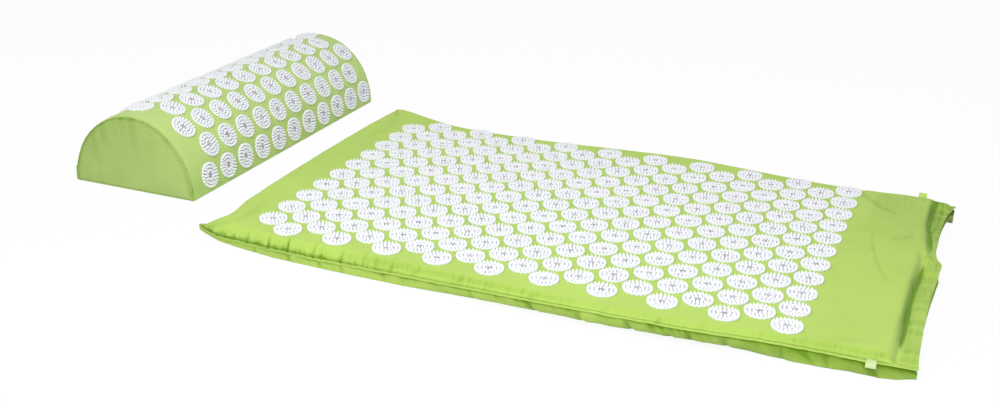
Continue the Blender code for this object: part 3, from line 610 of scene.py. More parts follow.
def woven_grid(columns, rows, place, shade=None):
    """A grid of cloth whose points are placed by a function, with its own flat map in metres.

    Where a second function is given, it says how much painted shade each point takes: 0 is
    open cloth, 1 as dark as in a crease, and anything past 1 as dark as the bottom of a sharp one.
    """
    bm = bmesh.new()
    bmesh.ops.create_grid(bm, x_segments=columns, y_segments=rows, size=1.0)
    # Each point's painted shade, by which cloth_material darkens the colour
    painted_shade = bm.verts.layers.float.new("painted_shade")
    index = {}
    spots = {}
    for vert in bm.verts:
        i = round((vert.co.x + 1) / 2 * columns)
        j = round((vert.co.y + 1) / 2 * rows)
        index[vert] = (i, j)
        vert.co = place(i, j)
        spots[i, j] = vert.co.copy()
    middle_row = rows // 2
    middle_column = columns // 2
    along = run_length([spots[i, middle_row] for i in range(columns + 1)])
    across = run_length([spots[middle_column, j] for j in range(rows + 1)])
    for edge in bm.edges:
        edge.smooth = not edge.is_boundary
    layer = bm.loops.layers.uv.new("cloth")
    for face in bm.faces:
        for loop in face.loops:
            i, j = index[loop.vert]
            loop[layer].uv = (along[i], across[j])
    if shade:
        for vert, (i, j) in index.items():
            vert[painted_shade] = min(max(shade(i, j, vert.co), 0.0), DEEPEST_PAINTED_SHADE)
    return bm


def run_length(points):
    """Distance along a line of points up to each of them."""
    total = [0.0]
    for a, b in zip(points, points[1:]):
        total.append(total[-1] + (b - a).length)
    return total


def thicken(piece, thickness):
    """Gives cloth its thickness, on the side that its faces look away from."""
    wall = piece.modifiers.new("thickness", "SOLIDIFY")
    wall.thickness = thickness
    wall.offset = -1.0


def near_line(x, y, points):
    """Distance from a place over the plan to a line of points, and how far along it that is."""
    best = (math.inf, 0.0)
    for k, (a, b) in enumerate(zip(points, points[1:])):
        dx, dy = b[0] - a[0], b[1] - a[1]
        t = unit(((x - a[0]) * dx + (y - a[1]) * dy) / (dx * dx + dy * dy))
        gap = math.hypot(x - a[0] - t * dx, y - a[1] - t * dy)
        if gap < best[0]:
            best = (gap, (k + t) / (len(points) - 1))
    return best


# The stretch of the mat that has no creases, and the furthest that one runs from its first point
UNCREASED = (-0.24, 0.25)
CREASE_REACH = (0.06, 0.14)
# How far into its half wave a crease starts and ends, and how fast it deepens from there
CREASE_END_SHARE = 0.08
CREASE_FADE = 0.6


def crease_depth(x, y, creases):
    """Depth of all the creases at a place over the plan, each fading to its two ends."""
    depth = 0.0
    if UNCREASED[0] < x < UNCREASED[1]:
        return depth
    for points, width, deep in creases:
        if abs(x - points[0][0]) > CREASE_REACH[0] or abs(y - points[0][1]) > CREASE_REACH[1]:
            continue
        gap, along = near_line(x, y, points)
        if gap < 4 * width:
            share = unit(CREASE_END_SHARE + (1 - 2 * CREASE_END_SHARE) * along)
            depth += deep * math.sin(math.pi * share) ** CREASE_FADE * hump(gap, width)
    return depth


# The mat's cover

NEAR = Track(NEAR_EDGE)
FAR = Track(FAR_EDGE)
HEAD = Track(HEAD_EDGE)


@functools.lru_cache(maxsize=4096)
def near_point(s):
    """Near seam at a share of its length: place, height, floor inset and roll."""
    x = NEAR_EDGE[0][0] + (NEAR_EDGE[-1][0] - NEAR_EDGE[0][0]) * s
    y, z, inset, roll = NEAR(x)
    return Vector((x, -y)), z, inset, roll


@functools.lru_cache(maxsize=4096)
def far_point(s):
    x = FAR_EDGE[0][0] + (FAR_EDGE[-1][0] - FAR_EDGE[0][0]) * s
    y, z, inset, roll = FAR(x)
    return Vector((x, y)), z, inset, roll


@functools.lru_cache(maxsize=65536)
def head_point(t):
    y = HEAD_EDGE[0][0] + (HEAD_EDGE[-1][0] - HEAD_EDGE[0][0]) * t
    x, z = HEAD(y)
    return Vector((x, y)), z


def foot_point(t):
    near = NEAR_EDGE[-1]
    far = FAR_EDGE[-1]
    return Vector((FOOT_X, -near[1] + (far[1] + near[1]) * t))


def plan(s, t):
    """Place over the plan at shares along and across, fitted to the cover's four edges."""
    near = near_point(unit(s))[0]
    far = far_point(unit(s))[0]
    head = head_point(unit(t))[0]
    foot = foot_point(t)
    corners = (
        (1 - s) * (1 - t) * near_point(0.0)[0]
        + (1 - s) * t * far_point(0.0)[0]
        + s * (1 - t) * near_point(1.0)[0]
        + s * t * far_point(1.0)[0]
    )
    return (1 - t) * near + t * far + (1 - s) * head + s * foot - corners


COVER_ROWS = 144
LENGTH = FOOT_X - HEAD_X
# Columns along the mat: number of the column, share of the length
COLUMN_SHARES = (
    (0, 0.000),
    (170, 0.300),
    (250, 0.880),
    (320, 1.000),
)
COVER_COLUMNS = COLUMN_SHARES[-1][0]


def column_share(i, rings):
    """Share along the mat of an inner column: columns stand closer together near both ends."""
    k = (i - rings) / (COVER_COLUMNS - rings) * COVER_COLUMNS
    for (first, low), (last, high) in zip(COLUMN_SHARES, COLUMN_SHARES[1:]):
        if k <= last:
            return low + (high - low) * (k - first) / (last - first)
    return 1.0


def cover_place(i, j, insets_head, insets_near, insets_far):
    """Shares along and across for a grid point whose outer rings follow the seams."""
    rings = len(insets_head(0.5)) - 1
    inner_rows = COVER_ROWS - 2 * rings
    head = insets_head(unit((j - rings) / inner_rows))
    if i <= rings:
        s = head[i] / LENGTH
    else:
        first = head[rings] / LENGTH
        s = first + (1 - first) * column_share(i, rings)
    clamped = unit(s)
    near, far = insets_near(clamped), insets_far(clamped)
    width = (near_point(clamped)[0] - far_point(clamped)[0]).length
    if j <= rings:
        t = near[j] / width
    elif j >= COVER_ROWS - rings:
        t = 1 - far[COVER_ROWS - j] / width
    else:
        first, last = near[rings] / width, 1 - far[rings] / width
        t = first + (last - first) * (j - rings) / inner_rows
    return s, t


LIP_RINGS = len(LIP_SECTION)
RINGS = LIP_RINGS + len(TOP_SECTION) - 1

# Seeds of the noise along the seams, first for the width of the lip and then for the seam's waves
HEAD_LIP_SEED = 31.0
NEAR_LIP_SEED = 33.0
FAR_LIP_SEED = 35.0
NEAR_WAVE_SEED = 1.0
FAR_WAVE_SEED = 5.0
# Run of the noise along the head seam, which is given by shares
HEAD_RUN = 0.5

# Waves of the seams: height, pitch and seed, with a finer crinkle where the near one is gathered
SEAM_WAVES = ((0.0006, 0.017, 0.0), (0.0005, 0.007, 3.0))
SEAM_CRINKLE = ((0.0007, 0.0040, 6.0),)
CRINKLED = (-0.150, -0.210)
# Shares of the lip's width: its mean, and its waves with their pitch and seed
LIP_MEAN_SHARE = 0.85
LIP_WAVES = ((0.45, 0.045, 0.0), (0.25, 0.012, 0.0))
# Waves of the top cloth: shares of the slack all over, and heights in the bare strip and at the head
SLACK_WAVES = ((0.5, 0.070, 2.0),)
STRIP_WAVES = ((0.0008, 0.040, 4.0), (0.0005, 0.017, 6.0))
STRIP_START = (0.280, 0.300)
HEAD_WAVES = ((0.0005, 0.022, 5.0),)
HEAD_START = (-0.285, -0.300)
# The two layers of cloth lie just above and below the seam's line
TOP_OVER_SEAM = 0.0005
BOTTOM_UNDER_SEAM = 0.0004
# The head's roll widens by this share towards the near ear, between these shares across
EAR_ROLL_SHARE = 1.2
EAR_ROLL = (0.08, 0.0)


def seam_wave(x, seed):
    """Small up and down of a seam."""
    wave = waves(x, 0.0, SEAM_WAVES, seed)
    if seed == NEAR_WAVE_SEED:
        wave += smooth_step(*CRINKLED, x) * waves(x, 0.0, SEAM_CRINKLE, seed)
    return wave


def edge_wave(i, j, x, y):
    """Wave of the seam nearest to a grid point. The head's runs across the mat."""
    seed = NEAR_WAVE_SEED if j < COVER_ROWS / 2 else FAR_WAVE_SEED
    return seam_wave(x if min(j, COVER_ROWS - j) < i else y, seed)


def lip_insets(x, seed):
    """Places of the seam allowance, which shows more in some places than in others."""
    width = LIP * (LIP_MEAN_SHARE + waves(x, 0.0, LIP_WAVES, seed))
    return [-share * width for share, _ in LIP_SECTION]


def lip_rise(k):
    return LIP_SECTION[k][1] if k < LIP_RINGS else 0.0


def top_insets(roll, x, seed):
    return lip_insets(x, seed) + [share * roll for share, _ in TOP_SECTION]


def top_climb(k):
    """Share of the climb from the seam at a ring counted from the lip."""
    return 0.0 if k < LIP_RINGS else TOP_SECTION[min(k - LIP_RINGS, len(TOP_SECTION) - 1)][1]


def head_top_insets(share):
    roll = HEAD_ROLL * (1 + EAR_ROLL_SHARE * smooth_step(*EAR_ROLL, share))
    return top_insets(roll, HEAD_RUN * share, HEAD_LIP_SEED)


def near_top_insets(share):
    spot, _, _, roll = near_point(share)
    return top_insets(roll, spot.x, NEAR_LIP_SEED)


def far_top_insets(share):
    spot, _, _, roll = far_point(share)
    return top_insets(roll, spot.x, FAR_LIP_SEED)


def seam_height(s, t, weights, otherwise):
    """Height of the near, far and head seams at a place, by weight."""
    heights = (near_point(unit(s))[1], far_point(unit(s))[1], head_point(unit(t))[1])
    total = sum(weights)
    if total <= 0:
        return otherwise
    return sum(height * weight for height, weight in zip(heights, weights)) / total


def cloth_waves(x, y):
    """Soft unevenness of the top cloth, and its creases."""
    wave = bpy.context.scene.mat_sizes.slack * waves(x, y, SLACK_WAVES)
    wave += smooth_step(*STRIP_START, x) * waves(x, y, STRIP_WAVES)
    wave += smooth_step(*HEAD_START, x) * waves(x, y, HEAD_WAVES)
    return wave - crease_depth(x, y, TOP_CREASES)


# Rows of the top cloth that puckers may reach, and shares of a pucker's depth taken down and in
PUCKERED_ROWS = 30
PUCKER_DOWN_SHARE = 0.8
PUCKER_IN_SHARE = 0.6
# A pucker leans as it runs up and widens from the seam, and the cloth stands up beside it
PUCKER_LEAN = 0.12
PUCKER_WIDTH = 0.0009
PUCKER_SPREAD = 0.020
PUCKER_LIMIT = 0.006
SHOULDER_SHARE = 0.35
SHOULDER_PLACE = 0.0028
SHOULDER_WIDTH = 0.0016


def pucker_depth(x, y, seam_y):
    """Depth of the gathers that run up from the near seam."""
    depth = 0.0
    rise = y - seam_y
    for place, reach, deep in NEAR_PUCKERS:
        gap = abs(x - place - PUCKER_LEAN * rise)
        if gap < PUCKER_LIMIT and rise < reach:
            width = PUCKER_WIDTH + PUCKER_SPREAD * max(rise, 0.0)
            along = 1 - unit(rise / reach)
            shoulder = SHOULDER_SHARE * hump(gap - SHOULDER_PLACE, SHOULDER_WIDTH)
            depth += deep * along * (hump(gap, width) - shoulder)
    return depth


def top_cloth_point(i, j):
    s, t = cover_place(i, j, head_top_insets, near_top_insets, far_top_insets)
    x, y = plan(s, t)
    climbs = [top_climb(j), top_climb(COVER_ROWS - j), top_climb(i)]
    climb = math.prod(climbs)
    seam = seam_height(s, t, [1 - share for share in climbs], MAT_TOP / 2) + TOP_OVER_SEAM
    z = seam + (MAT_TOP - seam) * climb + lip_rise(min(i, j, COVER_ROWS - j))
    z += edge_wave(i, j, x, y) * (1 - climb) + cloth_waves(x, y) * climb
    z -= crease_depth(x, y, EAR_FOLDS)
    if j <= PUCKERED_ROWS and y < 0:
        dent = pucker_depth(x, y, near_point(unit(s))[0].y)
        z -= dent * PUCKER_DOWN_SHARE
        y += dent * PUCKER_IN_SHARE
    return Vector((x, y, z))


NEAR_SHADE_TRACK = Track(NEAR_SHADE)
# Painted shade for each metre that a crease, a fold at an ear or a pucker is deep
CREASE_SHADE = 120.0
EAR_FOLD_SHADE = 250.0
PUCKER_SHADE = 500.0
# Painted shade in the seam's line, on the roll above it and on the far side of the bare strip
NEAR_SEAM_SHADE = 0.55
SEAM_SHADE = 0.50
ROLL_SHADE = 0.16
FAR_STRIP_SHADE = 0.16
SHADED_STRIP = (0.285, 0.300)
SHADED_FAR_SIDE = (-0.02, 0.20)
# Tips of the gathered band, as shares of its reach, and the height below which it is full
GATHER_TIPS = ((0.7, 0.0040, 21.0), (0.4, 0.0100, 22.0))
GATHER_FULL = 0.0012


def gathered_band(j, x):
    """Shade just above the near seam, with small tips that reach further up."""
    if j < LIP_RINGS:
        return 0.0
    up = top_climb(j) * (MAT_TOP - NEAR(x)[1])
    return smooth_step(GATHER_REACH * (1.0 + waves(x, 0.0, GATHER_TIPS)), GATHER_FULL, up)


def top_cloth_shade(i, j, spot):
    """Painted shade on the top cloth: along the near seam, in its gathers and creases, on the roll and on
    the far side of the bare strip.
    """
    x, y, _ = spot
    shade = CREASE_SHADE * max(0.0, crease_depth(x, y, TOP_CREASES))
    shade += FAR_STRIP_SHADE * smooth_step(*SHADED_STRIP, x) * smooth_step(*SHADED_FAR_SIDE, y)
    shade += EAR_FOLD_SHADE * max(0.0, crease_depth(x, y, EAR_FOLDS))
    if j < len(RIDGED_SHADE):
        gathered, ridged = NEAR_SHADE_TRACK(x)
        shade += gathered * gathered_band(j, x) + ridged * RIDGED_SHADE[j]
        if j > LIP_RINGS:
            shade += ROLL_SHADE * (1 - top_climb(j)) ** 0.5
        if j == LIP_RINGS:
            shade = max(shade, NEAR_SEAM_SHADE)
    elif COVER_ROWS - j == LIP_RINGS or i == LIP_RINGS:
        shade = max(shade, SEAM_SHADE)
    if j <= PUCKERED_ROWS and y < 0:
        share = (x - NEAR_EDGE[0][0]) / (NEAR_EDGE[-1][0] - NEAR_EDGE[0][0])
        shade += PUCKER_SHADE * max(0.0, pucker_depth(x, y, near_point(unit(share))[0].y))
    return shade


# The lower layer of the lip is a little narrower, and the bottom's last ring lies on the floor
LOWER_LIP_SHARE = 0.93
FLOOR_MARGIN = 0.0025
# Bulge of each side, and how far in its floor line lies where no table says so
HEAD_BULGE = 0.0012
HEAD_INSET = 0.0050
FAR_BULGE = 0.0010
FAR_LEAST_INSET = 0.0012
NEAR_BULGE = 0.0013
NEAR_BULGE_WAVES = ((0.0008, 0.026, 8.0),)
# Towards the foot the near side hangs loose, bulges more and wanders more along the floor
LOOSE = (-0.12, 0.04)
LOOSE_BULGE = 0.0006
LOOSE_BULGE_WAVES = ((0.0012, 0.020, 9.0),)
FLOOR_WAVES = ((0.0022, 0.024, 11.0),)
TIGHT_SHARE = 0.3
LOOSE_FLOOR_WAVES = ((0.0010, 0.010, 12.0),)
# Rows of the near side that its creases reach, how far off the floor, and how they lift the cloth
CREASED_ROWS = 16
OFF_FLOOR = 0.0002
CREASE_LIFT_SHARE = 0.25


def side_insets(bulge, inset, x, seed):
    outer = [LOWER_LIP_SHARE * lip for lip in lip_insets(x, seed)]
    wall = [floor * inset - swell * bulge for swell, _, floor in SIDE_SECTION[:-1]]
    return outer + wall + [max(SIDE_SECTION[-1][2] * inset, inset + FLOOR_MARGIN)]


def side_height(k):
    return 1.0 if k < LIP_RINGS else SIDE_SECTION[min(k - LIP_RINGS, len(SIDE_SECTION) - 1)][1]


def head_side_insets(share):
    return side_insets(HEAD_BULGE, HEAD_INSET, HEAD_RUN * share, HEAD_LIP_SEED)


def near_side_insets(share):
    spot, _, inset, _ = near_point(share)
    x = spot.x
    loose = smooth_step(*LOOSE, x)
    swell = NEAR_BULGE + waves(x, 0.0, NEAR_BULGE_WAVES)
    swell += loose * (LOOSE_BULGE + waves(x, 0.0, LOOSE_BULGE_WAVES))
    drift = waves(x, 0.0, FLOOR_WAVES) * (TIGHT_SHARE + (1 - TIGHT_SHARE) * loose)
    drift += waves(x, 0.0, LOOSE_FLOOR_WAVES) * loose
    return side_insets(swell, inset + drift, x, NEAR_LIP_SEED)


def far_side_insets(share):
    spot, _, inset, _ = far_point(share)
    return side_insets(FAR_BULGE, max(inset, FAR_LEAST_INSET), spot.x, FAR_LIP_SEED)


def bottom_cloth_point(i, j):
    s, t = cover_place(i, j, head_side_insets, near_side_insets, far_side_insets)
    x, y = plan(s, t)
    shares = [side_height(j), side_height(COVER_ROWS - j), side_height(i)]
    seam = seam_height(s, t, shares, near_point(unit(s))[1]) - BOTTOM_UNDER_SEAM
    z = (seam + edge_wave(i, j, x, y)) * max(shares) + lip_rise(min(i, j, COVER_ROWS - j))
    if LIP_RINGS <= j <= CREASED_ROWS and y < 0 and z > OFF_FLOOR:
        dent = side_crease(x, z / max(seam, 0.001))
        y += dent
        z += CREASE_LIFT_SHARE * dent
    return Vector((x, y, max(z, 0.0)))


# Creases of the side: how they lean for each unit of slant, their width, and the swell beside them
SIDE_LEAN = 0.010
SIDE_CREASE_FADE = 0.7
SIDE_CREASE_WIDTH = 0.0022
SIDE_CREASE_LIMIT = 0.012
SIDE_SWELL_SHARE = 0.5
SIDE_SWELL_PLACE = 0.0050
SIDE_SWELL_WIDTH = 0.0034


def side_crease(x, height):
    """Depth of the creases in the near side, which lean as they fall."""
    depth = 0.0
    envelope = math.sin(math.pi * unit(height)) ** SIDE_CREASE_FADE
    for place, slant, deep in SIDE_CREASES:
        gap = x - place - slant * SIDE_LEAN * (1 - height)
        if abs(gap) < SIDE_CREASE_LIMIT:
            swell = SIDE_SWELL_SHARE * hump(gap - SIDE_SWELL_PLACE, SIDE_SWELL_WIDTH)
            depth += deep * envelope * (hump(gap, SIDE_CREASE_WIDTH) - swell)
    return depth


# Painted shade on the near side: ring by ring from the lip's inner edge down, and how it varies
UNDER_LIP_SHADE = (0.50, 0.95, 0.70, 0.30, 0.12, 0.05)
UNDER_LIP_PATCHES = ((0.9, 0.016, 4.0),)
UNDER_LIP_MEAN = 0.75
UNDER_LIP_START = (-0.345, -0.318)
# A shade that grows towards the foot and is deepest under the lip
FOOT_SHADE = 0.60
FOOT_SHADE_START = (0.12, 0.33)
FOOT_SHADE_LOW_SHARE = 0.4
# Soft patches of shade, from the middle of the side on
DUSK_SHADE = 0.30
DUSK_PATCHES = ((1.0, 0.020, 9.0),)
DUSK_MEAN = 0.4
DUSK_START = (-0.08, 0.05)
# Depth of a side crease at which its painted shade is full, and what the noise takes a ring's height to be
SIDE_CREASE_FULL = 0.0032
PATCH_RING = 0.003
DUSK_RING = 0.004


def bottom_cloth_shade(i, j, spot):
    """Painted shade on the side: under the lip, in the creases, and more towards the foot."""
    x, y, _ = spot
    ring = j - LIP_RINGS
    if y > 0 or not -1 <= ring < len(SIDE_SECTION):
        return SEAM_SHADE if COVER_ROWS - j == LIP_RINGS or i == LIP_RINGS else 0.0
    height = 1 - ring / len(SIDE_SECTION)
    shade = max(0.0, side_crease(x, height)) / SIDE_CREASE_FULL
    if ring + 1 < len(UNDER_LIP_SHADE):
        patch = UNDER_LIP_MEAN + waves(x, ring * PATCH_RING, UNDER_LIP_PATCHES)
        shade += UNDER_LIP_SHADE[ring + 1] * patch * smooth_step(*UNDER_LIP_START, x)
    low = FOOT_SHADE_LOW_SHARE
    shade += FOOT_SHADE * smooth_step(*FOOT_SHADE_START, x) * (low + (1 - low) * height)
    dusk = max(0.0, DUSK_MEAN + waves(x, ring * DUSK_RING, DUSK_PATCHES))
    return shade + DUSK_SHADE * dusk * smooth_step(*DUSK_START, x)


# Share of the lime cotton's brightness kept in the side, which is painted shade, and its fold lines as
# cloth_material takes them
SIDE_GAIN = 0.87
SIDE_FOLD_LINES = (110.0, 90.0, 18.0)


class OBJECT_OT_mat_cover(bpy.types.Operator):
    """Sews the mat's top and bottom cloth, with a gathered seam round three sides"""

    bl_idname = "object.mat_cover"
    bl_label = "Mat cover"

    def execute(self, context):
        top = woven_grid(COVER_COLUMNS, COVER_ROWS, top_cloth_point, top_cloth_shade)
        cloth = cloth_material(context, "lime_cotton", 1.0)
        self.panel(context, "mat_top_cloth", top, cloth, "mat_top_panel")
        bottom = woven_grid(COVER_COLUMNS, COVER_ROWS, bottom_cloth_point, bottom_cloth_shade)
        bmesh.ops.reverse_faces(bottom, faces=bottom.faces[:])
        # The side takes a darker copy of the cotton: painted shade
        side = cloth_material(context, "lime_cotton_side_painted_shade", SIDE_GAIN, 0.0, SIDE_FOLD_LINES)
        self.panel(context, "mat_bottom_cloth", bottom, side, "mat_bottom_panel")
        return {"FINISHED"}

    def panel(self, context, name, bm, cloth, node):
        piece = add_piece(name, bm, cloth, "mat_cover", node)
        thicken(piece, context.scene.mat_sizes.cloth)


# The end flap

FLAP_ACROSS_TRACK = Track(FLAP_ACROSS)
FLAP_CREST_TRACK = Track(FLAP_CREST)
FLAP_SHELF_TRACK = Track(FLAP_SHELF)
FLAP_RIDGE_TRACK = Track(FLAP_RIDGE)
FLAP_COLUMNS = 40
FLAP_ROWS = 220
FLAP_FLOOR_COLUMNS = 12
FLAP_FLOOR_ROWS = 90
# Place across, height and roll of each seam where the flap is joined on
_, NEAR_FOOT_Y, NEAR_FOOT_Z, _, NEAR_FOOT_ROLL = NEAR_EDGE[-1]
_, FAR_FOOT_Y, FAR_FOOT_Z, _, FAR_FOOT_ROLL = FAR_EDGE[-1]
FLAP_WIDTH = NEAR_FOOT_Y + FAR_FOOT_Y
# Steepness of the ridge over the plan, on its way out and in its last stretch
RIDGE_SLOPE = 1.9
RIDGE_END_SLOPE = 1.0
RIDGE_END_X = 0.3640
# Where the mouth begins to hang and hangs in full, as shares across and of the way out
MOUTH_DROP_ACROSS = (0.58, 0.70)
MOUTH_DROP_OUT = (0.55, 1.0)


def flap_edges(along):
    """Places across of the near and far seams at a share of the flap's length."""
    return -NEAR_FOOT_Y + NEAR_TAPER * along, FAR_FOOT_Y - FAR_TAPER * along


def flap_seams(along):
    """Heights of the near and far seams at a share of the flap's length."""
    near = NEAR_FOOT_Z + (NEAR_CORNER_HEIGHT - NEAR_FOOT_Z) * along
    far = FAR_FOOT_Z + (FAR_CORNER_HEIGHT - FAR_FOOT_Z) * along
    return near, far


def flap_end(across):
    """Distance of the mouth from the joint."""
    return FLAP_LENGTH * FLAP_ACROSS_TRACK(across)[0]


def ridge_share(x, y):
    """How near a place on the flap is to the ridge, and the ridge's own height there."""
    ridge_y, level = FLAP_RIDGE_TRACK(x)
    slope = RIDGE_END_SLOPE if x > RIDGE_END_X else RIDGE_SLOPE
    return hump((y - ridge_y) / math.hypot(1.0, slope), RIDGE_WIDTH), level


def flap_place(out, across):
    """Place on the flap: out is -1 at the joint, 0 in the valley and 1 at the mouth."""
    _, valley, bottom, shelf = FLAP_ACROSS_TRACK(across)
    if out < 0:
        x = valley * (1 + out)
        level = bottom + (1 - bottom) * FLAP_CREST_TRACK(-out)[0]
    else:
        x = valley + (flap_end(across) - valley) * out
        level = bottom + (shelf - bottom) * FLAP_SHELF_TRACK(out)[0]
        level -= MOUTH_DROP * smooth_step(*MOUTH_DROP_ACROSS, across) * smooth_step(*MOUTH_DROP_OUT, out)
    near, far = flap_edges(x / FLAP_LENGTH)
    y = near + (far - near) * across
    near_ridge, ridge_level = ridge_share(FOOT_X + x, y)
    level += max(0.0, ridge_level - level) * near_ridge
    return x, y, level, near_ridge


def flap_across(j):
    """Share of the width at a row. The outer rows follow the rolls of the two seams."""
    near = top_insets(NEAR_FOOT_ROLL, FOOT_X, NEAR_LIP_SEED)
    far = top_insets(FAR_FOOT_ROLL, FOOT_X, FAR_LIP_SEED)
    if j <= RINGS:
        return near[j] / FLAP_WIDTH
    if j >= FLAP_ROWS - RINGS:
        return 1 - far[FLAP_ROWS - j] / FLAP_WIDTH
    low, high = near[-1] / FLAP_WIDTH, 1 - far[-1] / FLAP_WIDTH
    return low + (high - low) * (j - RINGS) / (FLAP_ROWS - 2 * RINGS)


# The cover's own waves fade out from the joint on, and the loose cloth's waves come in
HELD = (0.8, 0.0)
FREE = (0.25, 1.0)
FREE_WAVES = ((0.0006, 0.011, 6.0), (0.0005, 0.030, 7.0))
# Line of stitches that holds the hem of the mouth
HEM_WIDTH = 0.0050
HEM_LINE_WIDTH = 0.0007
HEM_LINE_DEPTH = 0.0004


def flap_top_point(i, j):
    across = flap_across(j)
    clamped = unit(across)
    x, y, level, _ = flap_place(-1 + 2 * i / FLAP_COLUMNS, clamped)
    along = x / FLAP_LENGTH
    near, far = flap_edges(along)
    y += (across - clamped) * (far - near)
    side, seed = (0, NEAR_WAVE_SEED) if across < 0.5 else (1, FAR_WAVE_SEED)
    edge = flap_seams(along)[side] + TOP_OVER_SEAM + seam_wave(FOOT_X, seed) * (1 - along)
    crown = level * MAT_TOP + cloth_waves(FOOT_X + x, y) * smooth_step(*HELD, along)
    crown += smooth_step(*FREE, along) * waves(y, along, FREE_WAVES)
    crown = max(crown, edge)
    stitched = HEM_LINE_DEPTH * hump(flap_end(clamped) - x - HEM_WIDTH, HEM_LINE_WIDTH)
    row = min(j, FLAP_ROWS - j)
    z = edge + (crown - edge - stitched) * top_climb(row) + lip_rise(row)
    return Vector((FOOT_X + x, y, z))


# Painted shade along the valley's bottom, whose line is wider on the joint's side, and above it
VALLEY_SHADE = 1.60
VALLEY_OUTER_WIDTH = 0.12
VALLEY_INNER_WIDTH = 0.16
SLOPE_SHADE = 0.45
SLOPE_PLACE = -0.25
SLOPE_WIDTH = 0.22
# The valley is shaded in full from this share of the height down, and at the far end
DEEP_VALLEY = 0.20
FAR_VALLEY = (0.88, 0.95)
# Painted shade in soft patches on the shelf, and more of them on its far part
SHELF_SHADE = 0.34
SHELF_START = (0.0, 0.3)
SHELF_MEAN = 0.8
SHELF_PATCHES = ((0.7, 0.010, 5.0),)
SHELF_RUN = 0.006
FAR_SHELF_SHADE = 0.22
FAR_SHELF_ACROSS = (0.68, 0.80)
FAR_SHELF_START = (0.0, 0.2)
FAR_SHELF_MEAN = 0.6
FAR_SHELF_PATCHES = ((1.0, 0.006, 3.0),)
FAR_SHELF_RUN = 0.01
# Shares of the valley's and of the ridged band's shade that are left along the near lip
NEAR_LIP_VALLEY_SHARE = 0.5
NEAR_LIP_RIDGED_SHARE = 0.45


def flap_top_shade(i, j, spot):
    """Painted shade on the flap: darkest along the bottom of the valley."""
    out = -1 + 2 * i / FLAP_COLUMNS
    across = unit((j - RINGS) / (FLAP_ROWS - 2 * RINGS))
    _, _, bottom, shelf = FLAP_ACROSS_TRACK(across)
    _, _, _, near_ridge = flap_place(out, across)
    depth = max(smooth_step(0.0, DEEP_VALLEY, shelf - bottom), smooth_step(*FAR_VALLEY, across))
    line = hump(out, VALLEY_OUTER_WIDTH if out > 0 else VALLEY_INNER_WIDTH)
    slope = hump(out - SLOPE_PLACE, SLOPE_WIDTH)
    shade = depth * (VALLEY_SHADE * line + SLOPE_SHADE * slope) * (1 - near_ridge)
    patch = FAR_SHELF_MEAN + waves(spot.y, out * FAR_SHELF_RUN, FAR_SHELF_PATCHES)
    far = smooth_step(*FAR_SHELF_ACROSS, across) * smooth_step(*FAR_SHELF_START, out)
    shade += FAR_SHELF_SHADE * far * patch
    patch = SHELF_MEAN + waves(spot.y, out * SHELF_RUN, SHELF_PATCHES)
    shade += SHELF_SHADE * smooth_step(*SHELF_START, out) * patch
    shade += FAR_STRIP_SHADE * smooth_step(*SHADED_FAR_SIDE, spot.y)
    if j < len(RIDGED_SHADE):
        shade = max(shade * NEAR_LIP_VALLEY_SHARE, NEAR_LIP_RIDGED_SHARE * RIDGED_SHADE[j])
    if min(j, FLAP_ROWS - j) == LIP_RINGS:
        shade = max(shade, SEAM_SHADE)
    return shade


# The lower layer: its reach as a share of the upper one's, its gap below the seams, and the
# bulge of its near wall
LOWER_REACH_SHARE = 0.985
LOWER_GAP = 0.0006
WALL_BULGE = 0.0012
# How far the near wall falls short of the seam by the mouth, early and over the last stretch
NEAR_WALL_DROP = 0.13
NEAR_WALL_END_DROP = 0.09
NEAR_WALL_END = (0.70, 1.0)
FAR_WALL_DROP = 0.14
# How far in each wall's floor line lies. The near one starts outside the seam
NEAR_TUCK = -0.0010
NEAR_TUCK_GAIN = 0.0040
NEAR_TUCK_START = (0.45, 1.0)
FAR_TUCK = 0.0030
# How far the lower layer lifts off the floor, and where it does so across and along
FLAP_LIFT = 0.0105
FLAP_LIFT_ACROSS = (0.62, 0.98)
FLAP_LIFT_ALONG = (0.25, 1.0)


def flap_lift(across, along):
    """How far the lower layer lifts off the floor on its way up to the far seam and the mouth."""
    return FLAP_LIFT * smooth_step(*FLAP_LIFT_ACROSS, across) * smooth_step(*FLAP_LIFT_ALONG, along)


def flap_floor_point(i, j):
    along = i / FLAP_FLOOR_COLUMNS
    near, far = flap_edges(along)
    near_seam, far_seam = flap_seams(along)
    near_drop = NEAR_WALL_DROP * along + NEAR_WALL_END_DROP * smooth_step(*NEAR_WALL_END, along)
    near_top = (near_seam - LOWER_GAP) * (1 - near_drop)
    far_top = (far_seam - LOWER_GAP) * (1 - FAR_WALL_DROP * along)
    sections = len(SIDE_SECTION) - 1
    across = unit((j - sections) / (FLAP_FLOOR_ROWS - 2 * sections))
    x = FOOT_X + flap_end(across) * LOWER_REACH_SHARE * along
    tuck = NEAR_TUCK + NEAR_TUCK_GAIN * smooth_step(*NEAR_TUCK_START, along)
    swell, height, floor = SIDE_SECTION[min(j, FLAP_FLOOR_ROWS - j, sections)]
    if j <= sections:
        return Vector((x, near + floor * tuck - swell * WALL_BULGE, height * near_top))
    if j >= FLAP_FLOOR_ROWS - sections:
        return Vector((x, far - floor * FAR_TUCK + swell * FAR_BULGE, height * far_top))
    low, high = near + floor * tuck, far - floor * FAR_TUCK
    return Vector((x, low + (high - low) * across, flap_lift(across, along)))


# Painted shade on the lower layer: ring by ring down from each seam, over the walls and inside
WALL_SHADE_BY_RING = (0.95, 0.80, 0.45, 0.22, 0.12)
WALL_SHADE = 0.60
INSIDE_SHADE = 0.10


def flap_floor_shade(i, j, spot):
    """The walls lie in the shade of the layer above them."""
    ring = min(j, FLAP_FLOOR_ROWS - j)
    if ring >= len(SIDE_SECTION):
        return INSIDE_SHADE
    under = WALL_SHADE_BY_RING[ring] if ring < len(WALL_SHADE_BY_RING) else 0.0
    return under + WALL_SHADE * (1 - 0.5 * ring / len(SIDE_SECTION))
